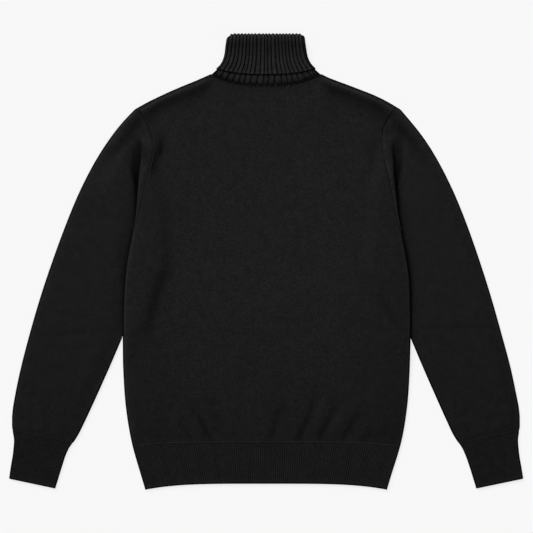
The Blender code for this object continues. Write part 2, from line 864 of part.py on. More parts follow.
def ribbed_tube(name, rings, colour, flip):
    """A flattened tube of fine outer rings and coarse inner rings.

    Each ring is (fine, coarse), a list of (place round the ring from 0 to 1, point).
    """
    points = []
    fine_numbers = []
    coarse_numbers = []
    for fine, coarse in rings:
        fine_numbers.append([(place, len(points) + i) for i, (place, _) in enumerate(fine)])
        points.extend(point for _, point in fine)
        coarse_numbers.append([(place, len(points) + i) for i, (place, _) in enumerate(coarse)])
        points.extend(point for _, point in coarse)
    faces = []
    for numbers, inside in ((fine_numbers, False), (coarse_numbers, True)):
        for upper, lower in zip(numbers[:-1], numbers[1:]):
            count = len(upper)
            for i in range(count):
                a, b = upper[i][1], lower[i][1]
                c, d = lower[(i + 1) % count][1], upper[(i + 1) % count][1]
                made = [(a, b, c), (a, c, d)]
                faces.extend([tuple(reversed(f)) for f in made] if inside else made)
    for r, turned in ((0, False), (len(rings) - 1, True)):
        outside = fine_numbers[r] + [(1.0, fine_numbers[r][0][1])]
        inside = coarse_numbers[r] + [(1.0, coarse_numbers[r][0][1])]
        rim = join_edges(outside, inside)
        faces.extend([tuple(reversed(f)) for f in rim] if turned else rim)
    if flip:
        faces = [tuple(reversed(f)) for f in faces]
    return add_object(name, points, faces, colour)


def flat_ring(start, end, reach, upper, lower, rib):
    """One ring of a flattened tube between two plan points, reach from its middle surface.

    It runs along the upper wall, round the far nose, back along the lower wall and round the near nose;
    each point comes with its place round the ring.
    """
    span = math.dist(start, end)
    walk = ((end[0] - start[0]) / span, (end[1] - start[1]) / span)
    ring = []

    def add(place, p, z):
        ring.append((place, (start[0] + walk[0] * p, start[1] + walk[1] * p, z)))

    first = FAR_SKIN
    last = span - FAR_SKIN
    for i in range(upper + 1):
        share = i / upper
        add(0.45 * share, first + share * (last - first), REST + reach + (rib if i % 2 else 0))
    for i in range(1, NOSE_STEPS):
        a = math.pi * (0.5 - i / NOSE_STEPS)
        add(0.45 + 0.05 * i / NOSE_STEPS, last + reach * math.cos(a), REST + reach * math.sin(a))
    for i in range(lower + 1):
        share = i / lower
        add(0.5 + 0.45 * share, last + share * (first - last), REST - reach)
    for i in range(1, NOSE_STEPS):
        a = math.pi * (1.5 - i / NOSE_STEPS)
        add(0.95 + 0.05 * i / NOSE_STEPS, first + reach * math.cos(a), REST + reach * math.sin(a))
    return ring


def cuff(side):
    sign = SIDES[side]
    rings = []
    for outer_height, inner_height, rib in CUFF_ROWS[1:]:
        start = (sign * along(ARM_OUTER, side, outer_height), outer_height)
        end = (sign * along(ARM_INNER, side, inner_height), inner_height)
        fine = flat_ring(start, end, FAR_SKIN, 2 * CUFF_RIBS, CUFF_PLAIN, rib)
        coarse = flat_ring(start, end, NEAR_SKIN, CUFF_PLAIN, CUFF_PLAIN, 0)
        rings.append((fine, coarse))
    return ribbed_tube("cuff_" + side, rings, RIB_COLOUR, sign > 0)


# Roll neck.

STATIONS = (
    ("name", "share", "mid", "turn", "level", "rib"),
    ("seam", 0, STAND_MID, 0, COLLAR_LOW, 0.6),
    ("over_seam", 0, STAND_MID, 0, COLLAR_LOW, 0.6),
    ("below_roll", 0, STAND_MID, 0, COLLAR_REST, 0.2),
    ("stand_low", ROLL_FLARE, STAND_MID, 0, COLLAR_REST, 0),
    ("stand_bend", ROLL_BEND, STAND_MID, 0, COLLAR_REST, 0),
    ("stand_top", 1, STAND_MID, 0, COLLAR_REST, 0),
    ("crest", 1, (STAND_MID + ROLL_MID) / 2, 90, COLLAR_REST, 0.6),
    ("roll_top", 1, ROLL_MID, 180, COLLAR_REST, 0.6),
    ("roll_bend", ROLL_BEND, ROLL_MID, 180, COLLAR_REST, 0.6),
    ("roll_low", ROLL_FLARE, ROLL_MID, 180, COLLAR_REST, 0.6),
    ("roll_edge", 0, ROLL_MID, 180, COLLAR_REST, 0.6),
)


def neck_edge(out, back):
    """Height of a neck seam as the body's columns cut it into straight stretches."""
    columns = COLUMNS if back else FRONT_COLUMNS
    shares = [t / NECK_COLUMN for t in columns if t <= NECK_COLUMN]
    heights = [neck_back(NECK_HALF * share) for share in shares]
    if not back:
        heights = [h - NECK_DROP_FRONT * (1 - share**2) for h, share in zip(heights, shares)]
    return float(np.interp(out, [NECK_HALF * share for share in shares], heights))


def collar_height(name, share, out, reach, back):
    """Height of one station, out from the centre line and at share reach of its half width."""
    if name == "seam":
        return neck_edge(out, back) + GAP
    if name == "over_seam":
        return neck_edge(out, True) + (STEP_OVER if back else GAP)
    lower = ROLL_EDGE + ROLL_EDGE_RISE * reach**ROLL_EDGE_POWER
    if name == "below_roll":
        return lower - STEP_UNDER
    fold_radius = (ROLL_MID - STAND_MID) / 2
    top = COLLAR_TOP - COLLAR_CORNER * reach**COLLAR_CORNER_POWER - fold_radius - RIB_WALL / 2
    if name == "crest":
        return top + fold_radius
    return lower + share * (top - lower)


def collar_half(name, share, side):
    """Half width of one station, from the centre line to the middle of its side fold."""
    stand_reach = STAND_MID + RIB_WALL / 2
    if name == "seam":
        return NECK_HALF - stand_reach
    if name == "over_seam":
        return NECK_HALF - stand_reach - STEP_OVER
    roll_reach = ROLL_MID + RIB_WALL / 2
    if name == "below_roll":
        edge_height = collar_height("roll_edge", 0, 0, 1, True)
        flare_height = collar_height("roll_low", ROLL_FLARE, 0, 1, True)
        edge = along(ROLL_OUTLINE, side, edge_height)
        slope = (edge - along(ROLL_OUTLINE, side, flare_height)) / (flare_height - edge_height)
        return edge + slope * STEP_UNDER - roll_reach
    return along(ROLL_OUTLINE, side, collar_height(name, share, 0, 1, True)) - roll_reach


def collar():
    outer = {}
    inner = {}
    faces = []
    steps = COLLAR_RIBS * RIB_STEPS
    columns = 0
    for s, (name, share, mid, turn, level, rib_height) in enumerate(STATIONS[1:]):
        angle = math.radians(turn)
        half = {side: collar_half(name, share, side) for side in SIDES}
        ring = []
        for i in range(steps + 1):
            ring.append((-1 + 2 * i / steps, 90, True, rib_height if i % RIB_STEPS else 0))
        for i in range(1, NOSE_STEPS):
            ring.append((1, 90 - 180 * i / NOSE_STEPS, True, 0))
        for t in reversed(both_ways([c / NECK_COLUMN for c in FRONT_COLUMNS if c <= NECK_COLUMN])):
            ring.append((t, -90, False, 0))
        for i in range(1, NOSE_STEPS):
            ring.append((-1, -90 - 180 * i / NOSE_STEPS, True, 0))
        for column, (t, round_degrees, back, rib) in enumerate(ring):
            side = side_name(t)
            for skins, offset in ((outer, RIB_WALL / 2), (inner, -RIB_WALL / 2)):
                if skins is outer and turn == 0:
                    offset += rib
                if skins is inner and turn > 0:
                    offset -= rib
                reach = mid + offset * math.cos(angle)
                x = t * half[side] + reach * math.cos(math.radians(round_degrees))
                z = level + reach * math.sin(math.radians(round_degrees))
                height = collar_height(name, share, abs(x), abs(t), back)
                skins[(s, column)] = (x, height - offset * math.sin(angle), z)
        columns = len(ring)
    for s in range(len(STATIONS) - 2):
        for c in range(columns):
            d = (c + 1) % columns
            faces.append(((s, c), (s, d), (s + 1, d), (s + 1, c)))
    return wall_from_faces("collar", faces, outer, inner, RIB_COLOUR, False)


def clear_scene():
    for thing in list(bpy.data.objects):
        bpy.data.objects.remove(thing, do_unlink=True)


clear_scene()
back_panel()
front_panel()
for arm in SIDES:
    sleeve(arm)
    cuff(arm)
hem_bands()
collar()
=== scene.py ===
"""Turtleneck sweater laid flat with its back up: each knitted piece as a thin shell, in making-up order.

Sizes are in millimetres until a mesh is made. +X is the wearer's right, +Y runs towards the roll neck and
+Z is up. Each pair of layers follows one middle surface, and a layer's two skins stand off it.
"""

import math

import bpy
import numpy as np
from mathutils import Matrix, Vector


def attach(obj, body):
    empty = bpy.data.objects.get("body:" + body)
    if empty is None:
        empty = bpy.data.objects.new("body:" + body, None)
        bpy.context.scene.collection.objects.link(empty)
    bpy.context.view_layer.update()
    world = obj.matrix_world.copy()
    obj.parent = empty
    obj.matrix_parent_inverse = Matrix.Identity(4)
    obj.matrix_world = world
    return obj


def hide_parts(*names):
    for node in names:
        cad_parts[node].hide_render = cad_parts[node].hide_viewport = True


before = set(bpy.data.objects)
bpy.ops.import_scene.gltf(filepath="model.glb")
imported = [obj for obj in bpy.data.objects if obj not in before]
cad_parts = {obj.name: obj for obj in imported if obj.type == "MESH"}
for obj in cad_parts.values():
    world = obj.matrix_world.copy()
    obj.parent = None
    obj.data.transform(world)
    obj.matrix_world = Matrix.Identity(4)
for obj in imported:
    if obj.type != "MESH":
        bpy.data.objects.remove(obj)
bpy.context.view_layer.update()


# Front panel.
# The front is one plain-knit piece, cut deeper at the neck than the back. It lies face down on the
# surface, and its sides ride up where they lie on the hidden edges of the sleeves.

CLOTH = 1.6
NEAR = 0.15
FAR = NEAR + CLOTH
REST = FAR

# How far out the body's side folds lie, then its armhole seams, and how high its shoulders run.
SIDE_FOLD = (
    ("height", "left", "right"),
    (221.4, 209.5, 212.5),
    (187.8, 209.6, 213),
    (171, 209.8, 213.6),
    (151, 212.6, 214.4),
    (127, 215, 216.6),
    (104, 216.8, 219.2),
    (84, 218.3, 221.6),
    (66, 220.9, 224.4),
    (33, 227.8, 230.2),
    (10, 232.6, 234.9),
    (-10, 235.6, 238.1),
    (-38, 238.3, 241.1),
    (-98, 240.7, 242.6),
    (-160, 240.5, 241.5),
    (-200, 239, 240),
    (-230, 237, 238),
    (-260, 233.5, 234.5),
    (-290, 228.5, 229.5),
    (-310, 224.2, 224.9),
    (-360, 209.8, 209.5),
    (-383, 202.9, 202.6),
)
ARMHOLE_END = 46
ARMHOLE = (
    ("height", "left", "right"),
    (259.4, 214.9, 217.7),
    (221.4, 195.6, 196.6),
    (204.6, 191, 194.5),
    (187.8, 190.8, 195.2),
    (171, 192.7, 198.2),
    (151, 197.7, 203),
    (127, 203.6, 208.8),
    (104, 208.7, 213.7),
    (84, 212.9, 217.3),
    (66, 217.2, 220.9),
    (46, 224.5, 227.2),
)
SHOULDER = (
    ("out", "left", "right"),
    (92, 315.6, 315.6),
    (105, 309.8, 309.2),
    (120, 303.3, 303.4),
    (140, 295.2, 296),
    (160, 286.6, 288.3),
    (180, 277.4, 280.4),
    (200, 267.6, 270.8),
    (214.9, 259.4, 262.4),
    (217.7, 258, 260.5),
)
# How the sides ride over the sleeves: the lift, how far in it stays level, and over what it falls.
RIDE = (
    ("height", "lift", "level", "fall"),
    (262, 0, 6, 20),
    (221.4, 0, 6, 20),
    (204.6, 3.8, 4, 22),
    (187.8, 7.0, 4, 26),
    (171, 7.6, 6, 30),
    (151, 7.6, 14, 30),
    (127, 7.6, 22, 30),
    (104, 7.6, 27, 30),
    (84, 7.6, 31, 30),
    (66, 7.6, 35, 30),
    (33, 7.6, 44, 30),
    (10, 7.6, 53, 28),
    (-12, 7.5, 54, 30),
    (-38, 6.4, 44, 32),
    (-68, 5, 33, 32),
    (-98, 4.1, 21, 30),
    (-128, 3.8, 8, 28),
    (-155, 2.4, 3, 26),
    (-185, 1.1, 0, 24),
    (-215, 0.3, 0, 20),
    (-240, 0, 0, 20),
    (-320, 0, 0, 20),
)
SHOULDER_POINT = {-1: (214.9, 259.4), 1: (217.7, 260.5)}
NECK_HALF = 92
NECK_TOP = 315.6
NECK_SHARE = 0.426
NECK_DROP = {"back": 20, "front": 48}
NECK_POWER = 2.85
HEM_SEAM = -302.7
HEM_SEAM_DROOP = 8
HEM_SEAM_POWER = 5
EDGE_SHARE = 0.85
TOP_BLEND = 0.08
SHOULDER_SLOPE = 0.92
PANEL_HALF = 215
PANEL_LENGTH = 600
KNIT_HALF = 222
CROWDED = (3.4, 2.3, 1.6, 1.15, 0.75, 0.4, 0.15, 0)
LINKED_ROUNDING = 0.35
RIB_SEAM_ROUNDING = 0.8
ROUNDED_MOST = CLOTH * 0.97
SHARP_EDGE = 60
FUZZ = 0.5
FUZZ_REACH = 3
SEAM_LIT = 0.2
SEAM_SHADED = 0.95
KNIT_COLOUR = (0.0118, 0.0117, 0.0118, 1)
# Painted shade: the wool's colour darkens down the body, as the light falls off towards the hem.
BODY_FALLOFF_SHADE = (
    ("height", "tone"),
    (320, 1),
    (-30, 0.98),
    (-130, 0.9),
    (-200, 0.83),
    (-270, 0.75),
    (-390, 0.73),
)


def read(table, name, at):
    """A table's column at any value of its first column, on a smooth curve that never overshoots."""
    rows = sorted(table[1:])
    keys = np.array([row[0] for row in rows], float)
    values = np.array([row[table[0].index(name)] for row in rows], float)
    rises = np.diff(values) / np.diff(keys)
    product = rises[:-1] * rises[1:]
    total = np.where(product > 0, rises[:-1] + rises[1:], 1)
    slopes = np.concatenate([rises[:1], np.where(product > 0, 2 * product / total, 0), rises[-1:]])
    at = np.clip(at, keys[0], keys[-1])
    i = np.clip(np.searchsorted(keys, at) - 1, 0, len(keys) - 2)
    step = keys[i + 1] - keys[i]
    t = (at - keys[i]) / step
    start = (2 * t**3 - 3 * t**2 + 1) * values[i] + (t**3 - 2 * t**2 + t) * step * slopes[i]
    end = (3 * t**2 - 2 * t**3) * values[i + 1] + (t**3 - t**2) * step * slopes[i + 1]
    return start + end


def by_side(table, sign, at):
    """A table read on the left where sign is negative and on the right elsewhere."""
    return np.where(np.asarray(sign) < 0, read(table, "left", at), read(table, "right", at))


def ease(value):
    """0 below 0, 1 above 1, smooth between."""
    value = np.clip(value, 0, 1)
    return value * value * (3 - 2 * value)


def hump(distance, half):
    """1 at no distance, fading on both sides."""
    return np.exp(-((distance / half) ** 2))


def rounding(distance, radius):
    """How far a skin has dropped at a distance from an edge that is rounded off to a radius."""
    inside = np.clip(distance, 0, radius)
    return radius - np.sqrt(np.maximum(radius**2 - (radius - inside) ** 2, 0))


def fuzz_at(distance):
    """How far the wool's fuzz fills a piece out at a distance from its edge."""
    return FUZZ * (1 - ease(distance / FUZZ_REACH))


def folds_at(table, name, x, y):
    """Sum of a table's soft folds at each point, fading at their ends and across their width."""
    total = np.zeros(np.broadcast(x, y).shape)
    for fold in table[1:]:
        x0, y0, x1, y1, half = fold[:5]
        run = math.hypot(x1 - x0, y1 - y0)
        along = ((x - x0) * (x1 - x0) + (y - y0) * (y1 - y0)) / run
        across = ((x - x0) * (y1 - y0) - (y - y0) * (x1 - x0)) / run
        ends = ease(along / run / 0.75 + 0.12) * ease((run - along) / run / 0.35 + 0.3)
        width = half * (1.35 - 0.6 * np.clip(along / run, 0, 1))
        total = total + fold[table[0].index(name)] * ends * hump(across, width)
    return total


def body_ride(sign, out, height):
    """How high a pair of body layers rides over its resting level, near its side."""
    inwards = by_side(SIDE_FOLD, sign, height) - out
    share = (inwards - read(RIDE, "level", height)) / read(RIDE, "fall", height)
    return read(RIDE, "lift", height) * (1 - ease(share))


def body_edge(sign, height):
    """The armhole seam down to the underarm, then the side fold."""
    armhole, fold = by_side(ARMHOLE, sign, height), by_side(SIDE_FOLD, sign, height)
    return np.where(height >= ARMHOLE_END, armhole, fold)


def neck_line(out, layer):
    """Height of a neck seam, out from the centre line."""
    return NECK_TOP - NECK_DROP[layer] * (1 - np.clip(np.abs(out) / NECK_HALF, 0, 1) ** NECK_POWER)


def crowded_steps(count, length):
    """Shares from 0 to 1 along a length, even but for closer ones at the far end."""
    even = np.linspace(0, 1 - 5 / length, count)
    return np.concatenate([even, 1 - np.array(CROWDED) / length])


def crowded_grid(columns, width, rows, length):
    """Shares across from -1 to 1 and down from 0 to 1, with closer ones at every edge."""
    half = crowded_steps(columns, width)
    down = crowded_steps(rows, length)
    across = np.concatenate([-half[:0:-1], half])
    return np.meshgrid(across, np.concatenate([(1 - down[::-1])[: len(CROWDED)], down[1:]]))


def body_plan(t, v, layer):
    """Plan of a body panel: t from side to side, v from its top edge to its hem seam.

    Gives the side's sign, the distance out, the height, and the distances from the three edges.
    """
    sign = np.where(t < 0, -1, 1)
    reach = np.abs(t)
    point_out = np.where(sign < 0, SHOULDER_POINT[-1][0], SHOULDER_POINT[1][0])
    point_height = np.where(sign < 0, SHOULDER_POINT[-1][1], SHOULDER_POINT[1][1])
    beyond = (reach - NECK_SHARE) / (1 - NECK_SHARE)
    neck_out = NECK_HALF * reach / NECK_SHARE
    at_neck = reach <= NECK_SHARE
    top_out = np.where(at_neck, neck_out, NECK_HALF + beyond * (point_out - NECK_HALF))
    top = np.where(at_neck, neck_line(neck_out, layer), by_side(SHOULDER, sign, top_out))
    bottom = HEM_SEAM - HEM_SEAM_DROOP * reach**HEM_SEAM_POWER
    side_bottom = HEM_SEAM - HEM_SEAM_DROOP
    side_height = (1 - v) * point_height + v * side_bottom
    edge = body_edge(sign, side_height)

    def spread(fold, edge):
        start = fold * EDGE_SHARE
        outer = start + (reach - EDGE_SHARE) / (1 - EDGE_SHARE) * (edge - start)
        return np.where(reach <= EDGE_SHARE, fold * reach, outer)

    out = spread(by_side(SIDE_FOLD, sign, side_height), edge)
    at_top = spread(by_side(SIDE_FOLD, sign, point_height), point_out)
    out = out + (1 - ease(v / TOP_BLEND)) * (top_out - at_top)
    height = (1 - v) * top + v * bottom
    return sign, out, height, edge - out, (top - height) * SHOULDER_SLOPE, height - bottom


def cloth_shell(name, outer, inner, rings, weave, painted_shading):
    """One closed piece of cloth from its two skins, with a rim along each free edge.

    rings are faces of the outer skin, seen from outside. weave is each point's place in the knit, and
    the last argument is painted light and shade for the wool's colour there, with painted shade down in a
    crease.
    """
    outer, inner = np.reshape(outer, (-1, 3)), np.reshape(inner, (-1, 3))
    count = len(outer)
    edges = set()
    for ring in rings:
        edges.update(zip(ring, ring[1:] + ring[:1]))
    faces = [tuple(ring) for ring in rings]
    faces += [tuple(i + count for i in reversed(ring)) for ring in rings]
    faces += [(b, a, a + count, b + count) for a, b in sorted(edges) if (b, a) not in edges]
    mesh = bpy.data.meshes.new(name)
    mesh.from_pydata(np.concatenate([outer, inner]) / 1000, [], faces)
    corners = np.empty(len(mesh.loops), int)
    mesh.loops.foreach_get("vertex_index", corners)
    places = np.reshape(weave, (-1, 2))[corners % count]
    mesh.uv_layers.new(name="knit").data.foreach_set("uv", places.ravel())
    # Painted light and shade, kept on each point of both skins.
    tones = np.tile(np.ravel(painted_shading), 2)
    mesh.attributes.new("painted_shading", "FLOAT", "POINT").data.foreach_set("value", tones)
    mesh.shade_smooth()
    mesh.set_sharp_from_angle(angle=math.radians(SHARP_EDGE))
    piece = bpy.data.objects.new(name, mesh)
    bpy.context.scene.collection.objects.link(piece)
    return piece


def grid_rings(rows, columns, flip=False, closed=False):
    """Four-sided rings over a grid of points numbered row by row."""
    rings = []
    for r in range(rows - 1):
        for c in range(columns if closed else columns - 1):
            d = (c + 1) % columns
            a, b = r * columns + c, (r + 1) * columns + c
            e, f = (r + 1) * columns + d, r * columns + d
            rings.append([a, f, e, b] if flip else [a, b, e, f])
    return rings


def edge_shade(distance):
    """Painted shade where wool turns down at a free edge, with a painted highlight as a paler rim just
    inside.
    """
    level = ease((distance - 1.2) / 1.1)
    rim_highlight = 0.2 * hump(distance - 3.3, 1)
    return (0.02 + 0.98 * level) * (1 + rim_highlight)


def seam_shade(distance, height, deep):
    """Painted shade along an armhole seam: how much darker it is than the wool beside it, most so near
    the shoulder.
    """
    near_shoulder = ease((height - 205) / 25)
    return 1 - deep * (0.28 + 0.42 * near_shoulder) * hump(distance, 1.7)


def body_panel(name, layer, columns, rows, relief):
    """A front or back panel: upper skin outside on the back, lower skin outside on the front."""
    t, v = crowded_grid(columns, PANEL_HALF, rows, PANEL_LENGTH)
    sign, out, height, from_side, from_top, from_hem = body_plan(t, v, layer)
    x = sign * out
    loft, painted_shading = relief(x, out, height, from_side, from_top, from_hem)
    # Painted shade along the armhole seam, darker on the right, and at the sides and shoulders where the
    # wool turns down.
    seam = seam_shade(from_side, height, np.where(sign < 0, SEAM_LIT, SEAM_SHADED))
    painted_shading = painted_shading * np.where(height > ARMHOLE_END, seam, edge_shade(from_side))
    painted_shading = painted_shading * np.where(out > NECK_HALF, edge_shade(from_top - 0.5), 1)
    x = x + sign * np.where(height < ARMHOLE_END, fuzz_at(from_side), 0)
    height = height + np.where(out > NECK_HALF, fuzz_at(from_top), 0)
    middle = REST + body_ride(sign, out, height) + loft
    side_radius = np.where(height > ARMHOLE_END, LINKED_ROUNDING, CLOTH)
    drop = rounding(from_side, side_radius) + rounding(from_top, CLOTH)
    drop = drop + rounding(from_hem, RIB_SEAM_ROUNDING)
    up = 1 if layer == "back" else -1
    apart = NEAR * ease(from_side / 2) * ease(from_top / 2)
    outer = np.stack([x, height, middle + up * (FAR - np.minimum(drop, ROUNDED_MOST))], -1)
    inner = np.stack([x, height, middle + up * apart], -1)
    weave = np.stack([t * KNIT_HALF, height], -1)
    return cloth_shell(name, outer, inner, grid_rings(*t.shape, flip=layer == "front"), weave, painted_shading)


def maths(nodes, links, kind, first, second=None, third=None):
    """One arithmetic step of a material, on sockets or plain numbers."""
    step = nodes.new("ShaderNodeMath")
    step.operation = kind
    for place, value in enumerate((first, second, third)):
        if value is None:
            continue
        if isinstance(value, (int, float)):
            step.inputs[place].default_value = value
        else:
            links.new(value, step.inputs[place])
    return step.outputs[0]


def knitted(name, colour, wale, course, depth):
    """Dark wool knit: columns of V stitches over the weave's own places, mottled and slightly fuzzy.

    wale and course are a stitch's width and height, and depth is how far it stands out.
    """
    finish = bpy.data.materials.new(name)
    finish.use_nodes = True
    nodes, links = finish.node_tree.nodes, finish.node_tree.links
    wool = nodes["Principled BSDF"]

    def step(kind, first, second=None, third=None):
        return maths(nodes, links, kind, first, second, third)

    place = nodes.new("ShaderNodeUVMap")
    place.uv_map = "knit"
    split = nodes.new("ShaderNodeSeparateXYZ")
    links.new(place.outputs["UV"], split.inputs[0])
    across = step("FRACT", step("DIVIDE", split.outputs["X"], wale))
    off_centre = step("ABSOLUTE", step("MULTIPLY_ADD", across, 2, -1))
    slant = step("MULTIPLY_ADD", off_centre, 0.55, step("DIVIDE", split.outputs["Y"], course))
    loop = step("MULTIPLY_ADD", step("SINE", step("MULTIPLY", slant, 2 * math.pi)), 0.32, 0.68)
    off_leg = step("ABSOLUTE", step("MULTIPLY_ADD", off_centre, 2, -1))
    bow = step("SUBTRACT", 1, step("POWER", off_leg, 2.2))
    stitch = step("MULTIPLY", loop, bow)

    spot = nodes.new("ShaderNodeTexCoord")

    def noise(scale, detail, roughness):
        cloud = nodes.new("ShaderNodeTexNoise")
        cloud.inputs["Scale"].default_value = scale
        cloud.inputs["Detail"].default_value = detail
        cloud.inputs["Roughness"].default_value = roughness
        links.new(spot.outputs["Object"], cloud.inputs["Vector"])
        return cloud.outputs["Fac"]

    mottle = noise(scale=95, detail=3, roughness=0.65)
    fleck = noise(scale=500, detail=2, roughness=0.75)
    # Painted light and shade kept on each point, and painted shade from ambient occlusion in creases and
    # hollows.
    painted_shading = nodes.new("ShaderNodeAttribute")
    painted_shading.attribute_name = "painted_shading"
    painted_occlusion = nodes.new("ShaderNodeAmbientOcclusion")
    painted_occlusion.samples = 8
    painted_occlusion.inputs["Distance"].default_value = 0.018

    patches = step("MULTIPLY_ADD", mottle, 0.75, 0.625)
    flecks = step("MULTIPLY_ADD", fleck, 2.3, -0.15)
    tone = step("MULTIPLY", patches, flecks)
    tone = step("MULTIPLY", tone, step("MULTIPLY_ADD", stitch, 0.42, 0.76))
    # Both multiply the wool's colour: the painted light and shade, then the painted shade from ambient
    # occlusion.
    tone = step("MULTIPLY", tone, painted_shading.outputs["Fac"])
    tone = step("MULTIPLY", tone, step("POWER", painted_occlusion.outputs["AO"], 1.3))
    shade = nodes.new("ShaderNodeVectorMath")
    shade.operation = "SCALE"
    shade.inputs[0].default_value = colour[:3]
    links.new(tone, shade.inputs["Scale"])
    links.new(shade.outputs[0], wool.inputs["Base Color"])

    fuzz = step("MULTIPLY_ADD", fleck, 0.8, stitch)
    bump = nodes.new("ShaderNodeBump")
    bump.inputs["Strength"].default_value = 0.7
    bump.inputs["Distance"].default_value = depth / 1000
    links.new(fuzz, bump.inputs["Height"])
    links.new(bump.outputs["Normal"], wool.inputs["Normal"])

    wool.inputs["Roughness"].default_value = 1
    wool.inputs["Specular IOR Level"].default_value = 0.05
    wool.inputs["Sheen Weight"].default_value = 0.012
    wool.inputs["Sheen Roughness"].default_value = 0.45
    finish.diffuse_color = colour
    return finish


def front_relief(x, _out, height, *_edges):
    """No relief: the front lies plain on the surface. Its colour is painted darker down its height, as
    shade where the light falls off.
    """
    return 0 * x, read(BODY_FALLOFF_SHADE, "tone", height)


PLAIN_KNIT = knitted("plain_knit", KNIT_COLOUR, wale=1.45, course=1.15, depth=0.3)

front = body_panel("front_panel_knit", "front", columns=60, rows=90, relief=front_relief)
front.data.materials.append(PLAIN_KNIT)
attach(front, "root")
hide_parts("front_panel")


# Front hem band.
# A 1x1 rib band, knitted together with nothing turned up, and linked to the front's lower edge. It
# lies face down too, so its underside is flat.

HEM_END = -372.8
HEM_END_DROOP = 10
HEM_END_POWER = 4
HEM_HALF = 210
HEM_DEPTH = 70
HEM_RIBS = 119
RIB_BREADTH = 0.7
RIB_COLOUR = (0.0096, 0.0096, 0.0099, 1)


def hem_plan(t, v):
    """Plan of a hem band, v from 0 at its seam to 1 at its free edge, with distances from its edges."""
    sign = np.where(t < 0, -1, 1)
    seam = HEM_SEAM - HEM_SEAM_DROOP * np.abs(t) ** HEM_SEAM_POWER
    end = HEM_END - HEM_END_DROOP * np.abs(t) ** HEM_END_POWER
    side_seam = HEM_SEAM - HEM_SEAM_DROOP
    side_height = side_seam + v * (HEM_END - HEM_END_DROOP - side_seam)
    edge = by_side(SIDE_FOLD, sign, side_height)
    height = seam + v * (end - seam)
    return t * edge, height, edge * (1 - np.abs(t)), seam - height, height - end


def rib_profile(place, power):
    """Ribs one whole number apart: 1 on a rib's crest, 0 in the narrow valley between two."""
    return np.abs(np.sin(math.pi * place)) ** power


def hem_band(name, layer, per_side, rib_height):
    """One layer of the hem, with raised ribs where a height is given."""
    t, v = crowded_grid(per_side, HEM_HALF, 18, HEM_DEPTH)
    x, height, from_side, from_seam, from_end = hem_plan(t, v)
    drop = rounding(from_side, CLOTH) + rounding(from_seam, RIB_SEAM_ROUNDING)
    drop = drop + rounding(from_end, CLOTH)
    column = rib_profile(HEM_RIBS * (t + 1) / 2, RIB_BREADTH)
    fade = ease((from_seam - 0.2) / 2.5) * ease((from_end + 0.5) / 2)
    raised = rib_height * (column * fade - 0.5)
    up = 1 if layer == "back" else -1
    apart = NEAR * ease(from_side / 2)
    outer = np.stack([x, height, REST + up * (FAR - np.minimum(drop, ROUNDED_MOST) + raised)], -1)
    inner = np.stack([x, height, REST + up * apart], -1)
    # Painted shade in the narrow valleys between ribs and just inside the linked seam, a painted
    # highlight just inside the free end, and painted shade at the side and end edges where the wool turns
    # down.
    end_highlight = 0.14 * hump(from_end - 4, 3)
    seam_shadow = 0.08 * hump(from_seam - 2.6, 1.2)
    painted_shading = (0.3 + 0.82 * column) * (1 + end_highlight) * (1 - seam_shadow)
    painted_shading = painted_shading * edge_shade(from_side) * edge_shade(from_end)
    for skin in (outer, inner):
        skin[..., 0] += np.sign(t) * fuzz_at(from_side)
        skin[..., 1] -= fuzz_at(from_end)
    weave = np.stack([(t + 1) * HEM_RIBS, height], -1)
    return cloth_shell(name, outer, inner, grid_rings(*t.shape, flip=layer == "front"), weave, painted_shading)


RIB_KNIT = knitted("rib_knit", RIB_COLOUR, wale=1, course=1.2, depth=0.2)

hem_front = hem_band("hem_front_rib", "front", per_side=100, rib_height=0)
hem_front.data.materials.append(RIB_KNIT)
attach(hem_front, "root")
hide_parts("hem_front")


# Sleeves.
# Each sleeve is one shaped plain-knit piece, closed by its underarm seam and linked into the armhole. It
# is folded beside the body: a pleat runs down from the shoulder and its inner edge hides under the body.

ARM_OUTER = (
    ("height", "left", "right"),
    (260, 214.3, 218.2),
    (255, 221.6, 226),
    (250, 226.5, 230.5),
    (240, 236, 239),
    (225, 249, 251.5),
    (205, 264, 266.5),
    (180, 280.5, 282.5),
    (150, 297.5, 299),
    (110, 317, 318),
    (60, 337.5, 338),
    (0, 359.5, 359),
    (-60, 379.5, 378),
    (-120, 397, 395),
    (-180, 412.5, 411),
    (-220, 421, 419.5),
    (-250, 426, 425),
    (-264, 427, 426),
    (-276, 427, 426),
    (-286, 425.5, 424.5),
    (-300, 423.5, 423),
    (-320, 425, 424.5),
    (-345, 429, 428.5),
    (-366, 432, 432),
)
ARM_INNER = (
    ("height", "left", "right"),
    (-11, 190, 191),
    (-38, 202, 203),
    (-68, 216, 217),
    (-98, 229.5, 230.5),
    (-128, 243, 243.5),
    (-180, 265.5, 265.5),
    (-240, 292.5, 292),
    (-270, 306.5, 305.5),
    (-290, 316.5, 315),
    (-302, 324, 322.5),
    (-312, 331.5, 329.5),
    (-325, 337.5, 335.5),
    (-345, 344, 342.5),
    (-366, 350.5, 349),
    (-382, 355.5, 354),
)
SLEEVE_TOP = 221.4
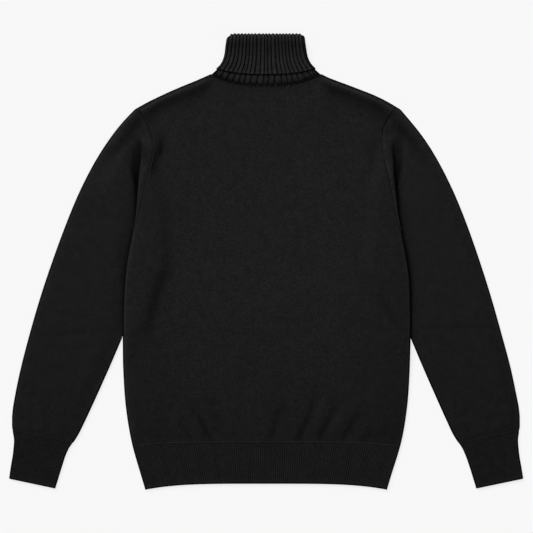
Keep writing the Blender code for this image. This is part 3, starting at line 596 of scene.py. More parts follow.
# Rows across a sleeve: the heights of both ends, and the pleat's turn, the arc of it and its run.
SLEEVE_ROWS = (
    ("inner", "outer", "turn", "arc", "run"),
    (221.4, 259.4, 0, 8.8, 0.3),
    (204.6, 243, 12, 8.8, 0.3),
    (187.8, 222, 52, 7.2, 0.3),
    (171, 196, 115, 5.17, 0.3),
    (151, 168, 180, 5.97, 0.5),
    (127, 136, 180, 5.97, 4.8),
    (104, 108, 180, 5.97, 9),
    (84, 85, 180, 5.97, 12.5),
    (66, 66, 180, 5.97, 14),
    (46, 46, 180, 5.97, 11),
    (40, 40, 180, 5.97, 10),
    (18, 18, 180, 5.97, 1),
    (8, 8, 138, 5.2, 0.4),
    (-1, -1, 98, 5, 0.4),
    (-10, -10, 60, 4.8, 0.4),
    (-19, -19, 30, 4.4, 0.4),
    (-28, -28, 0, 4.4, 0.4),
    (-45, -45, 0, 4.4, 0.4),
    (-126, -126, 0, 4.4, 0.4),
    (-167, -160, 0, 4.4, 0.4),
    (-210, -198, 0, 4.4, 0.4),
    (-249, -232, 0, 4.4, 0.4),
    (-276, -258, 0, 4.4, 0.4),
    (-291, -272, 0, 4.4, 0.4),
    (-304.2, -283, 0, 4.4, 0.4),
)
# Soft folds from one point to another, with half their width, their rise, and the painted shade in a
# crease or painted highlight on a ridge, each by side.
SLEEVE_FOLDS = (
    ("out0", "y0", "out1", "y1", "half", "left", "right", "left_tone", "right_tone"),
    (284, 92, 229, 202, 10, 1.9, 0, 0.16, 0),
    (244, 182, 186, 214, 9, 0.6, 0, 0.12, 0),
    (244, 128, 228, 206, 8, 0, 1.2, 0, 0.05),
    (168, 234, 242, 215, 8.5, 0, 0, 0, -0.24),
    (262, 86, 268, 72, 6, -0.9, -0.3, -0.1, -0.04),
    (240, -112, 372, -126, 6, -0.7, 0, -0.06, 0),
    (205, -112, 392, -108, 3, 0, -0.6, 0, -0.15),
    (250, -128, 330, -150, 5, -0.4, -0.5, -0.04, -0.04),
    (373, -250, 371, -289, 3.2, -0.8, -0.6, -0.16, -0.1),
    (336, -268, 340, -289, 3, -0.6, -0.7, -0.12, -0.14),
    (395, -262, 396, -286, 3, -0.5, -0.5, -0.08, -0.1),
    (356, -272, 356, -288, 2.6, 0.5, 0.4, 0.08, 0.06),
    (385, -268, 385, -287, 2.6, 0.4, 0.5, 0.08, 0.06),
)
# Painted shade: the sleeve's colour darkens towards the cuff, as the light falls off.
SLEEVE_FALLOFF_SHADE = (
    ("height", "tone"),
    (260, 1),
    (150, 0.97),
    (60, 0.92),
    (-60, 0.89),
    (-150, 0.83),
    (-230, 0.78),
    (-304, 0.74),
)
# Painted light on the sleeve head, from its outline inwards: a little painted highlight on the rim, then
# a band of painted shade.
HEAD_PAINTED_LIGHT = (
    ("from_outline", "tone"),
    (0, 0.95),
    (3, 1.02),
    (6, 1.04),
    (9, 0.98),
    (11.5, 0.88),
    (14, 0.74),
    (17, 0.63),
    (19, 0.62),
    (22, 0.7),
    (26, 0.84),
    (34, 1),
)
# The shaded pocket beside the body: how dark, its middle, half its flat width and its soft edge.
POCKET_LEFT = (
    ("height", "dark", "middle", "flat", "soft"),
    (222, 0, 4, 0, 8),
    (199, 0, 4, 0, 8),
    (187.8, 0.5, 3.5, 2, 6),
    (171, 0.58, 5.5, 5.5, 6),
    (154, 0.68, 6, 5.5, 5.5),
    (137, 0.93, 3.5, 3.5, 4.5),
    (120.6, 0.97, 2, 1.5, 3.8),
    (104, 0.76, 1.5, 1.2, 3.8),
    (78.6, 0.62, 1, 1, 3),
    (53, 0.3, 1, 1, 3),
    (20, 0.28, 1, 0.5, 3.5),
    (-31, 0.25, 1, 1, 3),
    (-81, 0.2, 1, 0.5, 3),
    (-135, 0, 1, 0.5, 3),
)
POCKET_RIGHT = (
    ("height", "dark", "middle", "flat", "soft"),
    (216, 0, 3, 4, 8),
    (201, 0, 3, 4, 8),
    (187.8, 0.36, 4, 5, 6.5),
    (171, 0.46, 5, 5, 5.5),
    (154, 0.62, 5, 4.5, 5),
    (137, 0.8, 2, 2.5, 4.5),
    (120.6, 0.88, 1.5, 1, 3.5),
    (104, 0.7, 1.5, 1.5, 3.5),
    (78.6, 0.5, 1, 1, 3.5),
    (53, 0.3, 1, 1, 3.5),
    (20, 0.15, 1, 0.5, 3.5),
    (-31, 0.05, 1, 1, 3.5),
    (-81, 0.05, 1, 0.5, 3.5),
    (-135, 0, 1, 0.5, 3.5),
)
SLEEVE_LOFT = 2.6
SLEEVE_SLANT = 1.06
SHOULDER_ROLL = 2.6
CLEAR_OF_BODY = -128
UNDERARM_LEAN = 0.1
LEAST_TURN = 0.5
SPAN_STEPS = 46
ARC_STEPS = 9
RUN_STEPS = 3
STRIP_STEPS = 8
NOSE_STEPS = 8


def shoulder_roll(distance):
    """How high the low roll stands along the shoulder, at a distance from its edge."""
    return SHOULDER_ROLL * ease(distance / 4.5) * (1 - ease((distance - 4) / 24))


def turn_path(start, turn, arc, run):
    """Points of the pleat from where it starts: an upward turn, a run and a turn back level."""
    angle = math.radians(max(turn, LEAST_TURN))
    bend = arc / angle
    points = []
    for i in range(1, ARC_STEPS + 1):
        a = angle * i / ARC_STEPS
        points.append((start + bend * math.sin(a), REST + bend * (1 - math.cos(a)), a))
    at, level, _ = points[-1]
    for i in range(1, RUN_STEPS + 1):
        gone = run * i / RUN_STEPS
        points.append((at + gone * math.cos(angle), level + gone * math.sin(angle), angle))
    at, level, _ = points[-1]
    centre = (at + bend * math.sin(angle), level - bend * math.cos(angle))
    for i in range(1, ARC_STEPS + 1):
        a = angle * (1 - i / ARC_STEPS)
        points.append((centre[0] - bend * math.sin(a), centre[1] + bend * math.cos(a), a))
    return points


def sleeve_row(sign, inner_height):
    """One row across a sleeve: its start, direction, length, pleat and middle line, and if it is open."""
    side = "left" if sign < 0 else "right"
    outer_height = float(read(SLEEVE_ROWS, "outer", inner_height))
    turn, arc, run = (float(read(SLEEVE_ROWS, name, inner_height)) for name in ("turn", "arc", "run"))
    below = float(ease((SLEEVE_TOP - inner_height) / 4))
    start = np.array([float(read(ARM_OUTER, side, outer_height)), outer_height])
    start = below * start + (1 - below) * np.array(SHOULDER_POINT[sign])
    open_row = inner_height >= ARMHOLE_END
    if open_row:
        end = (float(body_edge(sign, inner_height)), inner_height)
    else:
        lean = UNDERARM_LEAN * max(0, inner_height - ARM_INNER[1][0])
        end = (float(read(ARM_INNER, side, inner_height)) + lean, inner_height)
    span = math.dist(start, end)
    walk = ((end[0] - start[0]) / span, (end[1] - start[1]) / span)
    angle = math.radians(max(turn, LEAST_TURN))
    bend = arc / angle
    if open_row:
        strip = (float(read(SIDE_FOLD, side, inner_height)) - end[0]) / abs(walk[0])
        strip = min(strip, 10 + 0.9 * (SLEEVE_TOP - inner_height))
        pleat = span - strip + min(bend, 5) + FAR - 2 * bend * math.sin(angle) - run * math.cos(angle)
    else:
        pleat = span - FAR - (bend * math.sin(min(angle, math.pi / 2)) if turn > 1 else arc)
    even = np.linspace(0, 1, SPAN_STEPS + 1)
    shares = even - 0.08 * np.sin(2 * math.pi * even)
    points = [(FAR + (pleat - FAR) * share, REST, 0) for share in shares]
    path = turn_path(pleat, turn, arc, run)
    if open_row:
        at, level, _ = path[-1]
        end_level = REST + float(body_ride(sign, end[0], inner_height))
        for i in range(1, STRIP_STEPS + 1):
            share = i / STRIP_STEPS
            path.append((at + share * (span - at), level + share * (end_level - level), 0))
    else:
        path = path[: ARC_STEPS + RUN_STEPS]
    return (*start, *walk, span, pleat), points + path, open_row


def sleeve(sign):
    """One sleeve: both its walls row by row, its outer fold, and its hidden fold below the underarm."""
    side = "left" if sign < 0 else "right"
    low_end = SLEEVE_ROWS[-1][0]
    upper_rows = [np.linspace(SLEEVE_TOP, 210, 8), np.linspace(207.5, 47.5, 60), [46.5]]
    lower_rows = [np.linspace(45.5, low_end + 5, 117), low_end + np.array(CROWDED)]
    heights = np.concatenate(upper_rows + lower_rows)
    rows = [sleeve_row(sign, height) for height in heights]
    last_open = sum(row[2] for row in rows) - 1
    closing = SPAN_STEPS + ARC_STEPS + RUN_STEPS
    numbers = {}
    found = []

    def put(key, r, p, z, off_p, off_z, kind, around):
        numbers[key] = len(found)
        found.append((r, p, z, off_p, off_z, kind, around))

    for r, (_, points, open_row) in enumerate(rows):
        for facing, tag in ((1, "back"), (-1, "front")):
            for i, (p, z, angle) in enumerate(points):
                kind = 0
                if facing > 0:
                    kind = 1 if i <= SPAN_STEPS else 2 if i > closing else 3
                s, c = facing * math.sin(angle), facing * math.cos(angle)
                put((tag, r, i), r, p, z, -s, c, kind, facing * p)
        noses = [("fold", (FAR, REST), 0, -1)]
        if not open_row or r == last_open:
            p, z, angle = points[closing]
            noses.append(("end", (p, z), angle, 1))
        for tag, (p, z), angle, spin in noses:
            for n in range(1, NOSE_STEPS):
                swing = math.radians(90 - 180 * n / NOSE_STEPS)
                a = angle + spin * swing
                put((tag, r, n), r, p, z, spin * math.cos(a), spin * math.sin(a), 0, swing * FAR)

    r, p, z, off_p, off_z, kind, around = np.array(found).T
    r = r.astype(int)
    start_x, start_y, walk_x, walk_y, span, pleat = np.array([row[0] for row in rows])[r].T
    height = heights[r]
    far = FAR - rounding(height - low_end, RIB_SEAM_ROUNDING)
    linked = (kind == 2) | (kind == 0) & (z > REST + 0.01)
    far = far - np.where(linked, rounding(span - p, LINKED_ROUNDING), 0)
    bowed = 1 - ease((SLEEVE_TOP - height) / 14)

    def plan(at):
        """Distance out and height of points along their rows; the top rows bow along the armhole."""
        out, up = start_x + walk_x * at, start_y + walk_y * at
        point_out, point_up = SHOULDER_POINT[sign]
        armhole_out = float(by_side(ARMHOLE, sign, SLEEVE_TOP))
        level = np.clip(up, SLEEVE_TOP, point_up)
        climbed = (level - SLEEVE_TOP) / (point_up - SLEEVE_TOP)
        straight = armhole_out + climbed * (point_out - armhole_out)
        return out + bowed * (by_side(ARMHOLE, sign, level) - straight), up

    out, up = plan(p)
    fold_out = by_side(SIDE_FOLD, sign, height)
    lofted = np.minimum(pleat, (start_x - fold_out) / np.maximum(0.3, -walk_x))
    lofted = np.where(height < CLEAR_OF_BODY, span - FAR, lofted)
    rise = SLEEVE_LOFT * ease((1 + (SLEEVE_TOP - height) / 16) / 3)
    rise = rise * (1 - 0.55 * ease((-200 - height) / 90))
    rise = rise + folds_at(SLEEVE_FOLDS, side, out, up)
    inside = np.clip((p - FAR) / 24, 0, 1)
    loft = (1 - (1 - inside) ** 2.2) * ease((lofted - 3 - p) / 26)
    loft = loft * rise * ease((height - low_end) / 12)
    loft = np.where(kind == 1, np.maximum(0, loft), 0)
    filled = ease((height - 172) / 30)
    lift = body_ride(sign, by_side(ARMHOLE, sign, height), height)
    slope = REST + lift * ease((p - FAR) / (0.8 * (span - FAR))) - z
    loft = np.where(kind > 0, (1 - filled) * loft + filled * slope, loft)

    from_outline = (by_side(ARM_OUTER, sign, up) - out) * (0.72 + 0.22 * ease((230 - up) / 150))
    head = ease((up - 150) / 60)
    roll = shoulder_roll(from_outline) * ease((up - 175) / 55)
    loft = loft + np.where(kind > 0, roll, 0)

    # Painted light and shade on the sleeve: darker towards the cuff, painted shade in creases and a
    # painted highlight on ridges, a painted highlight along the outline with a little painted shade
    # inside it, the sleeve head's painted highlight and shade, and the right sleeve painted a little
    # darker all over.
    painted_shading = read(SLEEVE_FALLOFF_SHADE, "tone", up) + folds_at(SLEEVE_FOLDS, side + "_tone", out, up)
    painted_shading = painted_shading + 0.14 * hump(from_outline - 1, 3.5) - 0.06 * hump(from_outline - 12, 8)
    from_seam = np.abs(out - by_side(ARMHOLE, sign, up)) * 0.9
    head_painted_light = read(HEAD_PAINTED_LIGHT, "tone", from_outline)
    painted_shading = painted_shading * (1 + head * ease((from_seam - 1) / 11) * (head_painted_light - 1))
    painted_shading = painted_shading * (1 if sign < 0 else 0.95)
    # Painted shade in the pocket beside the body, spared on the pleat's raised strip below its top, a
    # painted highlight along the strip's edge, and painted shade along the armhole seam and at
    # turned-down edges.
    pocket = POCKET_LEFT if sign < 0 else POCKET_RIGHT
    beyond_fold = out + (walk_x * off_p * far) - fold_out
    off_middle = np.abs(beyond_fold - read(pocket, "middle", height)) - read(pocket, "flat", height)
    soft_edge = hump(np.maximum(off_middle, 0), read(pocket, "soft", height))
    shadow = read(pocket, "dark", height) * soft_edge
    gentle = ease((height - 155) / 30)
    raised = ease((z - REST) / 5)
    painted_shading = painted_shading * np.where(kind > 0, 1 - shadow * (1 - raised * (1 - gentle)), 1)
    painted_shading = painted_shading * (1 + 0.13 * raised * (1 - gentle) * hump(beyond_fold + 3, 5))
    seam = seam_shade(from_seam, up, SEAM_SHADED if sign < 0 else SEAM_LIT)
    painted_shading = painted_shading * np.where(height > ARMHOLE_END, seam, 1)
    skin_p = p + off_p * far
    inner_shade = np.where(height < CLEAR_OF_BODY, edge_shade(span - skin_p), 1)
    painted_shading = painted_shading * edge_shade(skin_p) * inner_shade

    skins = []
    at_fold = (kind == 0) & (p < FAR + 0.1) | (height < CLEAR_OF_BODY)
    for thick, fuzz in ((far, FUZZ), (NEAR, 0)):
        grown = np.where(at_fold, fuzz * np.abs(off_p), 0)
        out, up = plan(p + off_p * (thick + grown))
        skins.append(np.stack([sign * out, up, z + off_z * thick + loft], -1))
    weave = np.stack([around, (height - SLEEVE_TOP) * SLEEVE_SLANT], -1)
    rings = []

    def face(r, first, second):
        ring = [(first, r), (first, r + 1), (second, r + 1), (second, r)]
        ring = [numbers[(tag, row, i)] for (tag, i), row in ring]
        rings.append(ring if sign < 0 else ring[::-1])

    for r in range(len(rows) - 1):
        both = min(len(rows[r][1]), len(rows[r + 1][1]))
        for i in range(both - 1):
            face(r, ("back", i), ("back", i + 1))
            face(r, ("front", i + 1), ("front", i))
        folded = [("fold", n) for n in range(NOSE_STEPS - 1, 0, -1)]
        loops = [[("front", 0)] + folded + [("back", 0)]]
        if r >= last_open:
            ends = [("end", n) for n in range(1, NOSE_STEPS)]
            loops.append([("back", both - 1)] + ends + [("front", both - 1)])
        for loop in loops:
            for first, second in zip(loop[:-1], loop[1:]):
                face(r, first, second)
    return cloth_shell(f"sleeve_{side}_knit", *skins, rings, weave, painted_shading)


for sign, side in ((-1, "left"), (1, "right")):
    arm = sleeve(sign)
    arm.data.materials.append(PLAIN_KNIT)
    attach(arm, "root")
    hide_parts(f"sleeve_{side}")


# Cuffs.
# Each cuff is a rib tube linked to the sleeve's gathered end, narrower than the sleeve above it. It is
# flattened on the surface, so its ribs stand up on the upper side and round the two folds.

CUFF_ROWS = (
    ("outer", "inner"),
    (-283, -304.2),
    (-290, -310.5),
    (-323, -341),
    (-360, -376.8),
    (-364.5, -380.8),
)
CUFF_LENGTH = 78
CUFF_RIBS = 48
CUFF_RIB_HEIGHT = 0.35
CUFF_END_ROUNDING = 1.3
CUFF_STEPS = 336


def cuff(sign):
    """A rib tube flattened between its two folds, from the sleeve's end to its own free edge."""
    side = "left" if sign < 0 else "right"
    down = crowded_steps(20, CUFF_LENGTH)
    shares = np.concatenate([(1 - down[::-1])[: len(CROWDED)], down[1:]])[:, None]
    top, low = CUFF_ROWS[1][0], CUFF_ROWS[-1][0]
    start_y = top + shares * (low - top)
    end_y = read(CUFF_ROWS, "inner", start_y)
    start_x, end_x = read(ARM_OUTER, side, start_y), read(ARM_INNER, side, end_y)
    span = np.hypot(end_x - start_x, end_y - start_y)
    flat, turn = span - 2 * FAR, math.pi * FAR
    steps = np.arange(CUFF_STEPS)[None, :] / CUFF_STEPS
    gone = 2 * (flat + turn) * steps
    on_end = np.clip(gone - flat, 0, turn) / FAR
    on_start = np.clip(gone - 2 * flat - turn, 0, turn) / FAR
    angle = math.pi / 2 - on_end - on_start
    p = FAR + np.clip(gone, 0, flat) - np.clip(gone - flat - turn, 0, flat)
    upper = ease(np.sin(angle) + 1)

    from_seam, from_end = shares * CUFF_LENGTH, (1 - shares) * CUFF_LENGTH
    column = rib_profile(CUFF_RIBS * steps, RIB_BREADTH)
    fade = ease((from_seam - 0.2) / 2.5) * ease((from_end + 0.4) / 2)
    drop = rounding(from_seam, RIB_SEAM_ROUNDING) + rounding(from_end, CUFF_END_ROUNDING)
    raised = CUFF_RIB_HEIGHT * (column * fade - 0.45)
    raised = np.where(np.sin(angle) < 0, np.minimum(raised, 0), raised) * upper
    # Painted shade in the valleys between ribs and just inside the linked seam, a painted highlight just
    # inside the free end, and painted shade at both folds and the free end where the wool turns down.
    end_highlight = 0.22 * hump(from_end - 4, 3)
    seam_shadow = 0.08 * hump(from_seam - 2.6, 1.2)
    painted_shading = (0.64 + 0.13 * column) * (1 + end_highlight) * (1 - seam_shadow)
    skin_p = p + (FAR - drop) * np.cos(angle)
    painted_shading = painted_shading * edge_shade(skin_p) * edge_shade(span - skin_p) * edge_shade(from_end)
    skins = []
    for reach, fuzz in ((FAR - drop + raised, FUZZ), (NEAR + 0 * p, 0)):
        at = p + (reach + fuzz) * np.cos(angle)
        x = sign * (start_x + (end_x - start_x) / span * at)
        y = start_y + (end_y - start_y) / span * at - fuzz_at(from_end)
        skins.append(np.stack([x, y, REST + reach * np.sin(angle)], -1))
    weave = np.stack([CUFF_RIBS * 2 * steps + 0 * p, -from_seam + 0 * p], -1)
    rings = grid_rings(len(shares), CUFF_STEPS, flip=sign > 0, closed=True)
    return cloth_shell(f"cuff_{side}_rib", *skins, rings, weave, painted_shading)


for sign, side in ((-1, "left"), (1, "right")):
    band = cuff(sign)
    band.data.materials.append(RIB_KNIT)
    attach(band, "root")
    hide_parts(f"cuff_{side}")


# Back panel.
# The back is one plain-knit piece, fully fashioned at the armholes. It lies uppermost, a little off the
# front, gathers softly into the hem band, and its shoulder edges stand up in a low roll.

BODY_LOFT = 1.7
EDGE_EASE = 60
SIDE_BULGE = 2.2
TOOTH_PITCH = 9.6
# Creases and gathers from one point to another, as on the sleeves, with painted shade in the creases and
# a painted highlight on the puffs between them.
BACK_FOLDS = (
    ("x0", "y0", "x1", "y1", "half", "rise", "tone"),
    (-146, -268, -119, -312, 4, -0.8, -0.2),
    (-132, -226, -82, -320, 5, -1.3, -0.3),
    (-108, -196, -78, -280, 9, -0.7, -0.11),
    (40, -204, -1, -325, 6, -1.3, -0.2),
    (93, -176, 73, -264, 6, -0.8, -0.13),
    (86, -232, 42, -323, 5.5, -1.7, -0.33),
    (124, -230, 79, -318, 5.5, -1.9, -0.36),
    (167, -234, 117, -318, 5, -1.4, -0.3),
    (182, -272, 158.5, -310, 5, -1, -0.2),
    (-150, -302, -150, -250, 8, 0.6, 0.05),
    (-60, -306, -70, -230, 9, 0.7, 0.05),
    (-30, -308, -28, -240, 10, 0.6, 0.04),
    (66, -306, 100, -230, 7, 1, 0.08),
    (102, -306, 140, -238, 7, 1, 0.08),
    (-174, 226, -178, 176, 6, -0.3, -0.52),
    (-174.5, 204, -194, 146, 6, -0.3, -0.56),
    (183, 226, 178, 149, 8, -0.8, -0.16),
    (-164, 34, -203, -150, 8.5, -1.3, -0.26),
    (168, -24, 220, -106, 8, -1, -0.2),
    (-15, -98, 105, -96, 6, -0.4, -0.03),
)
# Painted light along the back's shoulder edges, from the top inwards: a band of painted highlight, then a
# broad band of painted shade.
SHOULDER_PAINTED_LIGHT = (
    ("from_top", "tone"),
    (0, 1.05),
    (2.5, 1.17),
    (3.6, 1.2),
    (5.1, 1.48),
    (6.7, 1.32),
    (8.2, 0.97),
    (9.8, 0.7),
    (11.3, 0.6),
    (13, 0.5),
    (14.5, 0.49),
    (16, 0.53),
    (20, 0.66),
    (24, 0.77),
    (28, 0.86),
    (33, 0.94),
    (40, 1),
)


def back_relief(x, out, height, from_side, from_top, from_hem):
    """How far the back stands off the front, with its folds, and the painted light and shade on it."""
    sign = np.where(x < 0, -1, 1)
    inwards = by_side(SIDE_FOLD, sign, height) - out - 4
    inwards = np.where(height > SLEEVE_TOP, body_edge(sign, np.minimum(height, 255)) - out, inwards)
    plain = BODY_LOFT * ease(inwards / EDGE_EASE) * ease(from_top / 30) * ease(from_hem / 18)
    beside = ease((90 - height) / 60) * ease(from_hem / 30)
    edge = np.clip(from_side / 22, 0, 1)
    bulge = SIDE_BULGE * (1 - (1 - edge) ** 2.4) * (1 - ease((from_side - 30) / 50)) * beside
    shoulder = ease((out - 86) / 22)
    roll = shoulder_roll(from_top) * shoulder
    near_top = ease(from_top / 12) * ease(from_hem / 3)
    folds = folds_at(BACK_FOLDS, "rise", x, height) * near_top
    tamed = 1 - 0.1 * body_ride(sign, out, height)
    loft = np.maximum(0, (plain + folds) * tamed) + roll + bulge

    # Painted light and shade on the back: darker down the body, painted shade in creases and painted
    # highlight on puffs, bands of painted highlight and shade along the shoulders, a painted shadow under
    # the roll neck, painted shade towards the sides, most on the right, a painted highlight along the
    # sides, most on the left, and a painted highlight above the hem seam with painted shade at it.
    painted_shading = read(BODY_FALLOFF_SHADE, "tone", height) + folds_at(BACK_FOLDS, "tone", x, height) * near_top
    banded = shoulder * (1 - 0.4 * ease((out - 186) / 24))
    wide = np.where(sign > 0, 1, 1 - ease((out - 125) / 40))
    from_band = from_top - 0.25 * wide * np.maximum(from_top - 13, 0)
    painted_shading = painted_shading * (1 + banded * (read(SHOULDER_PAINTED_LIGHT, "tone", from_band) - 1))
    teeth = 2 + np.sin(x * 2 * math.pi / TOOTH_PITCH)
    collar_shadow = 0.4 * hump(from_top, teeth) + 0.17 * hump(from_top, 20)
    painted_shading = painted_shading * (1 - (1 - shoulder) * collar_shadow)
    beyond_shade = np.where(sign < 0, 0.05, 0.12) * ease((out - 110) / 90)
    painted_shading = painted_shading * (1 - beyond_shade * ease((190 - height) / 120))
    rim_highlight = 0.6 * (1 - ease(from_side / 16)) + 0.9 * hump(from_side - 2.5, 2.5)
    painted_shading = painted_shading * (1 + np.where(sign < 0, 0.2, 0.08) * beside * rim_highlight)
    painted_shading = painted_shading * (1 + 0.14 * hump(from_hem - 7, 7) - 0.1 * hump(from_hem, 1.4))
    return loft, painted_shading


back = body_panel("back_panel_knit", "back", columns=98, rows=205, relief=back_relief)
back.data.materials.append(PLAIN_KNIT)
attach(back, "root")
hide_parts("back_panel")


# Back hem band.
# The same 1x1 rib band on the back, linked to the back's lower edge. Its ribs fan a little towards the
# sides, where the band draws the body in.

hem_back = hem_band("hem_back_rib", "back", per_side=3 * HEM_RIBS, rib_height=0.7)
hem_back.data.materials.append(RIB_KNIT)
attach(hem_back, "root")
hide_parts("hem_back")


# Roll neck.
# One wide-rib tube linked to the neck edge. It stands up flat from the seam, turns over at its top and
# hangs down outside to a free edge, so four layers lie on each other.

RIB_CLOTH = 1.8
STAND_MID = NEAR + RIB_CLOTH / 2
ROLL_MID = STAND_MID + RIB_CLOTH + 2 * NEAR
CREST_RADIUS = (ROLL_MID - STAND_MID) / 2
COLLAR_LOW = STAND_MID + RIB_CLOTH / 2
COLLAR_REST = ROLL_MID + RIB_CLOTH / 2
COLLAR_TOP = 382.4
COLLAR_CORNER = 14
COLLAR_CORNER_FROM = 53.5
ROLL_EDGE = 314.8
ROLL_EDGE_RISE = 8.5
ROLL_EDGE_POWER = 2.6
ROLL_OUTLINE = (
    ("height", "left", "right"),
    (312, 91, 90),
    (320, 84.5, 83.5),
    (325.6, 82.2, 81.3),
    (332.3, 76.6, 75.6),
    (339, 73.1, 71.7),
    (345.7, 70.9, 69.2),
    (352.5, 69.4, 67.7),
    (365.9, 67.9, 65.7),
    (376, 66.6, 64.4),
    (384, 66, 63.8),
)
# Painted light down the roll from its top: a painted highlight on the crest, a little painted shade below
# it, and lighter again towards the lip.
ROLL_PAINTED_LIGHT = (
    ("from_top", "tone"),
    (-4, 2),
    (2.2, 1.95),
    (3.9, 1.7),
    (5.5, 1.5),
    (8.9, 1.18),
    (12.3, 1),
    (17.3, 0.86),
    (22.3, 0.95),
    (29, 1.1),
    (36, 1.24),
    (42.5, 1.32),
    (70, 1.3),
)
ROLL_RIBS = 21
STAND_RIBS = 17
ROLL_RIB_HEIGHT = 1.7
STAND_RIB_HEIGHT = 1.3
ROLL_DEPTH = 66
STAND_DEPTH = 28
CREST_RISE = 1.8
STAND_STEPS = 18
INSIDE_STEPS = 8
CREST_STEPS = 12
UNDER_STEPS = 60
NECK_NOSE_STEPS = 14


def ring_places():
    """Places round the flattened tube: share across, angle round a side fold, and rib counts."""
    columns = 13 * ROLL_RIBS
    places = [(-1 + 2 * i / columns, 90, i / columns) for i in range(columns + 1)]
    around = [180 * i / NECK_NOSE_STEPS for i in range(1, NECK_NOSE_STEPS)]
    places += [(1, 90 - turned, 1 + 0.06 * turned / 180) for turned in around]
    places += [(1 - 2 * i / UNDER_STEPS, -90, 1.5) for i in range(UNDER_STEPS + 1)]
    places += [(-1, -90 - turned, -0.06 * (180 - turned) / 180) for turned in around]
    return np.array(places).T


def collar_rows():
    """Rows from the neck seam up, over the top and down: share, middle, turn, level and kind."""
    rows = []
    for i in range(STAND_STEPS + 1):
        level = COLLAR_LOW + (COLLAR_REST - COLLAR_LOW) * float(ease(i / STAND_STEPS))
        rows.append(((i / STAND_STEPS) ** 1.3, STAND_MID, 0, level, 0))
    rows += [(i / INSIDE_STEPS, STAND_MID, 0, COLLAR_REST, 1) for i in range(1, INSIDE_STEPS + 1)]
    middle = (STAND_MID + ROLL_MID) / 2
    rows += [(1, middle, 180 * i / CREST_STEPS, COLLAR_REST, 2) for i in range(1, CREST_STEPS)]
    rows += [(1 - share, ROLL_MID, 180, COLLAR_REST, 1) for share in crowded_steps(28, ROLL_DEPTH)]
    return np.array(rows).T[:, :, None]


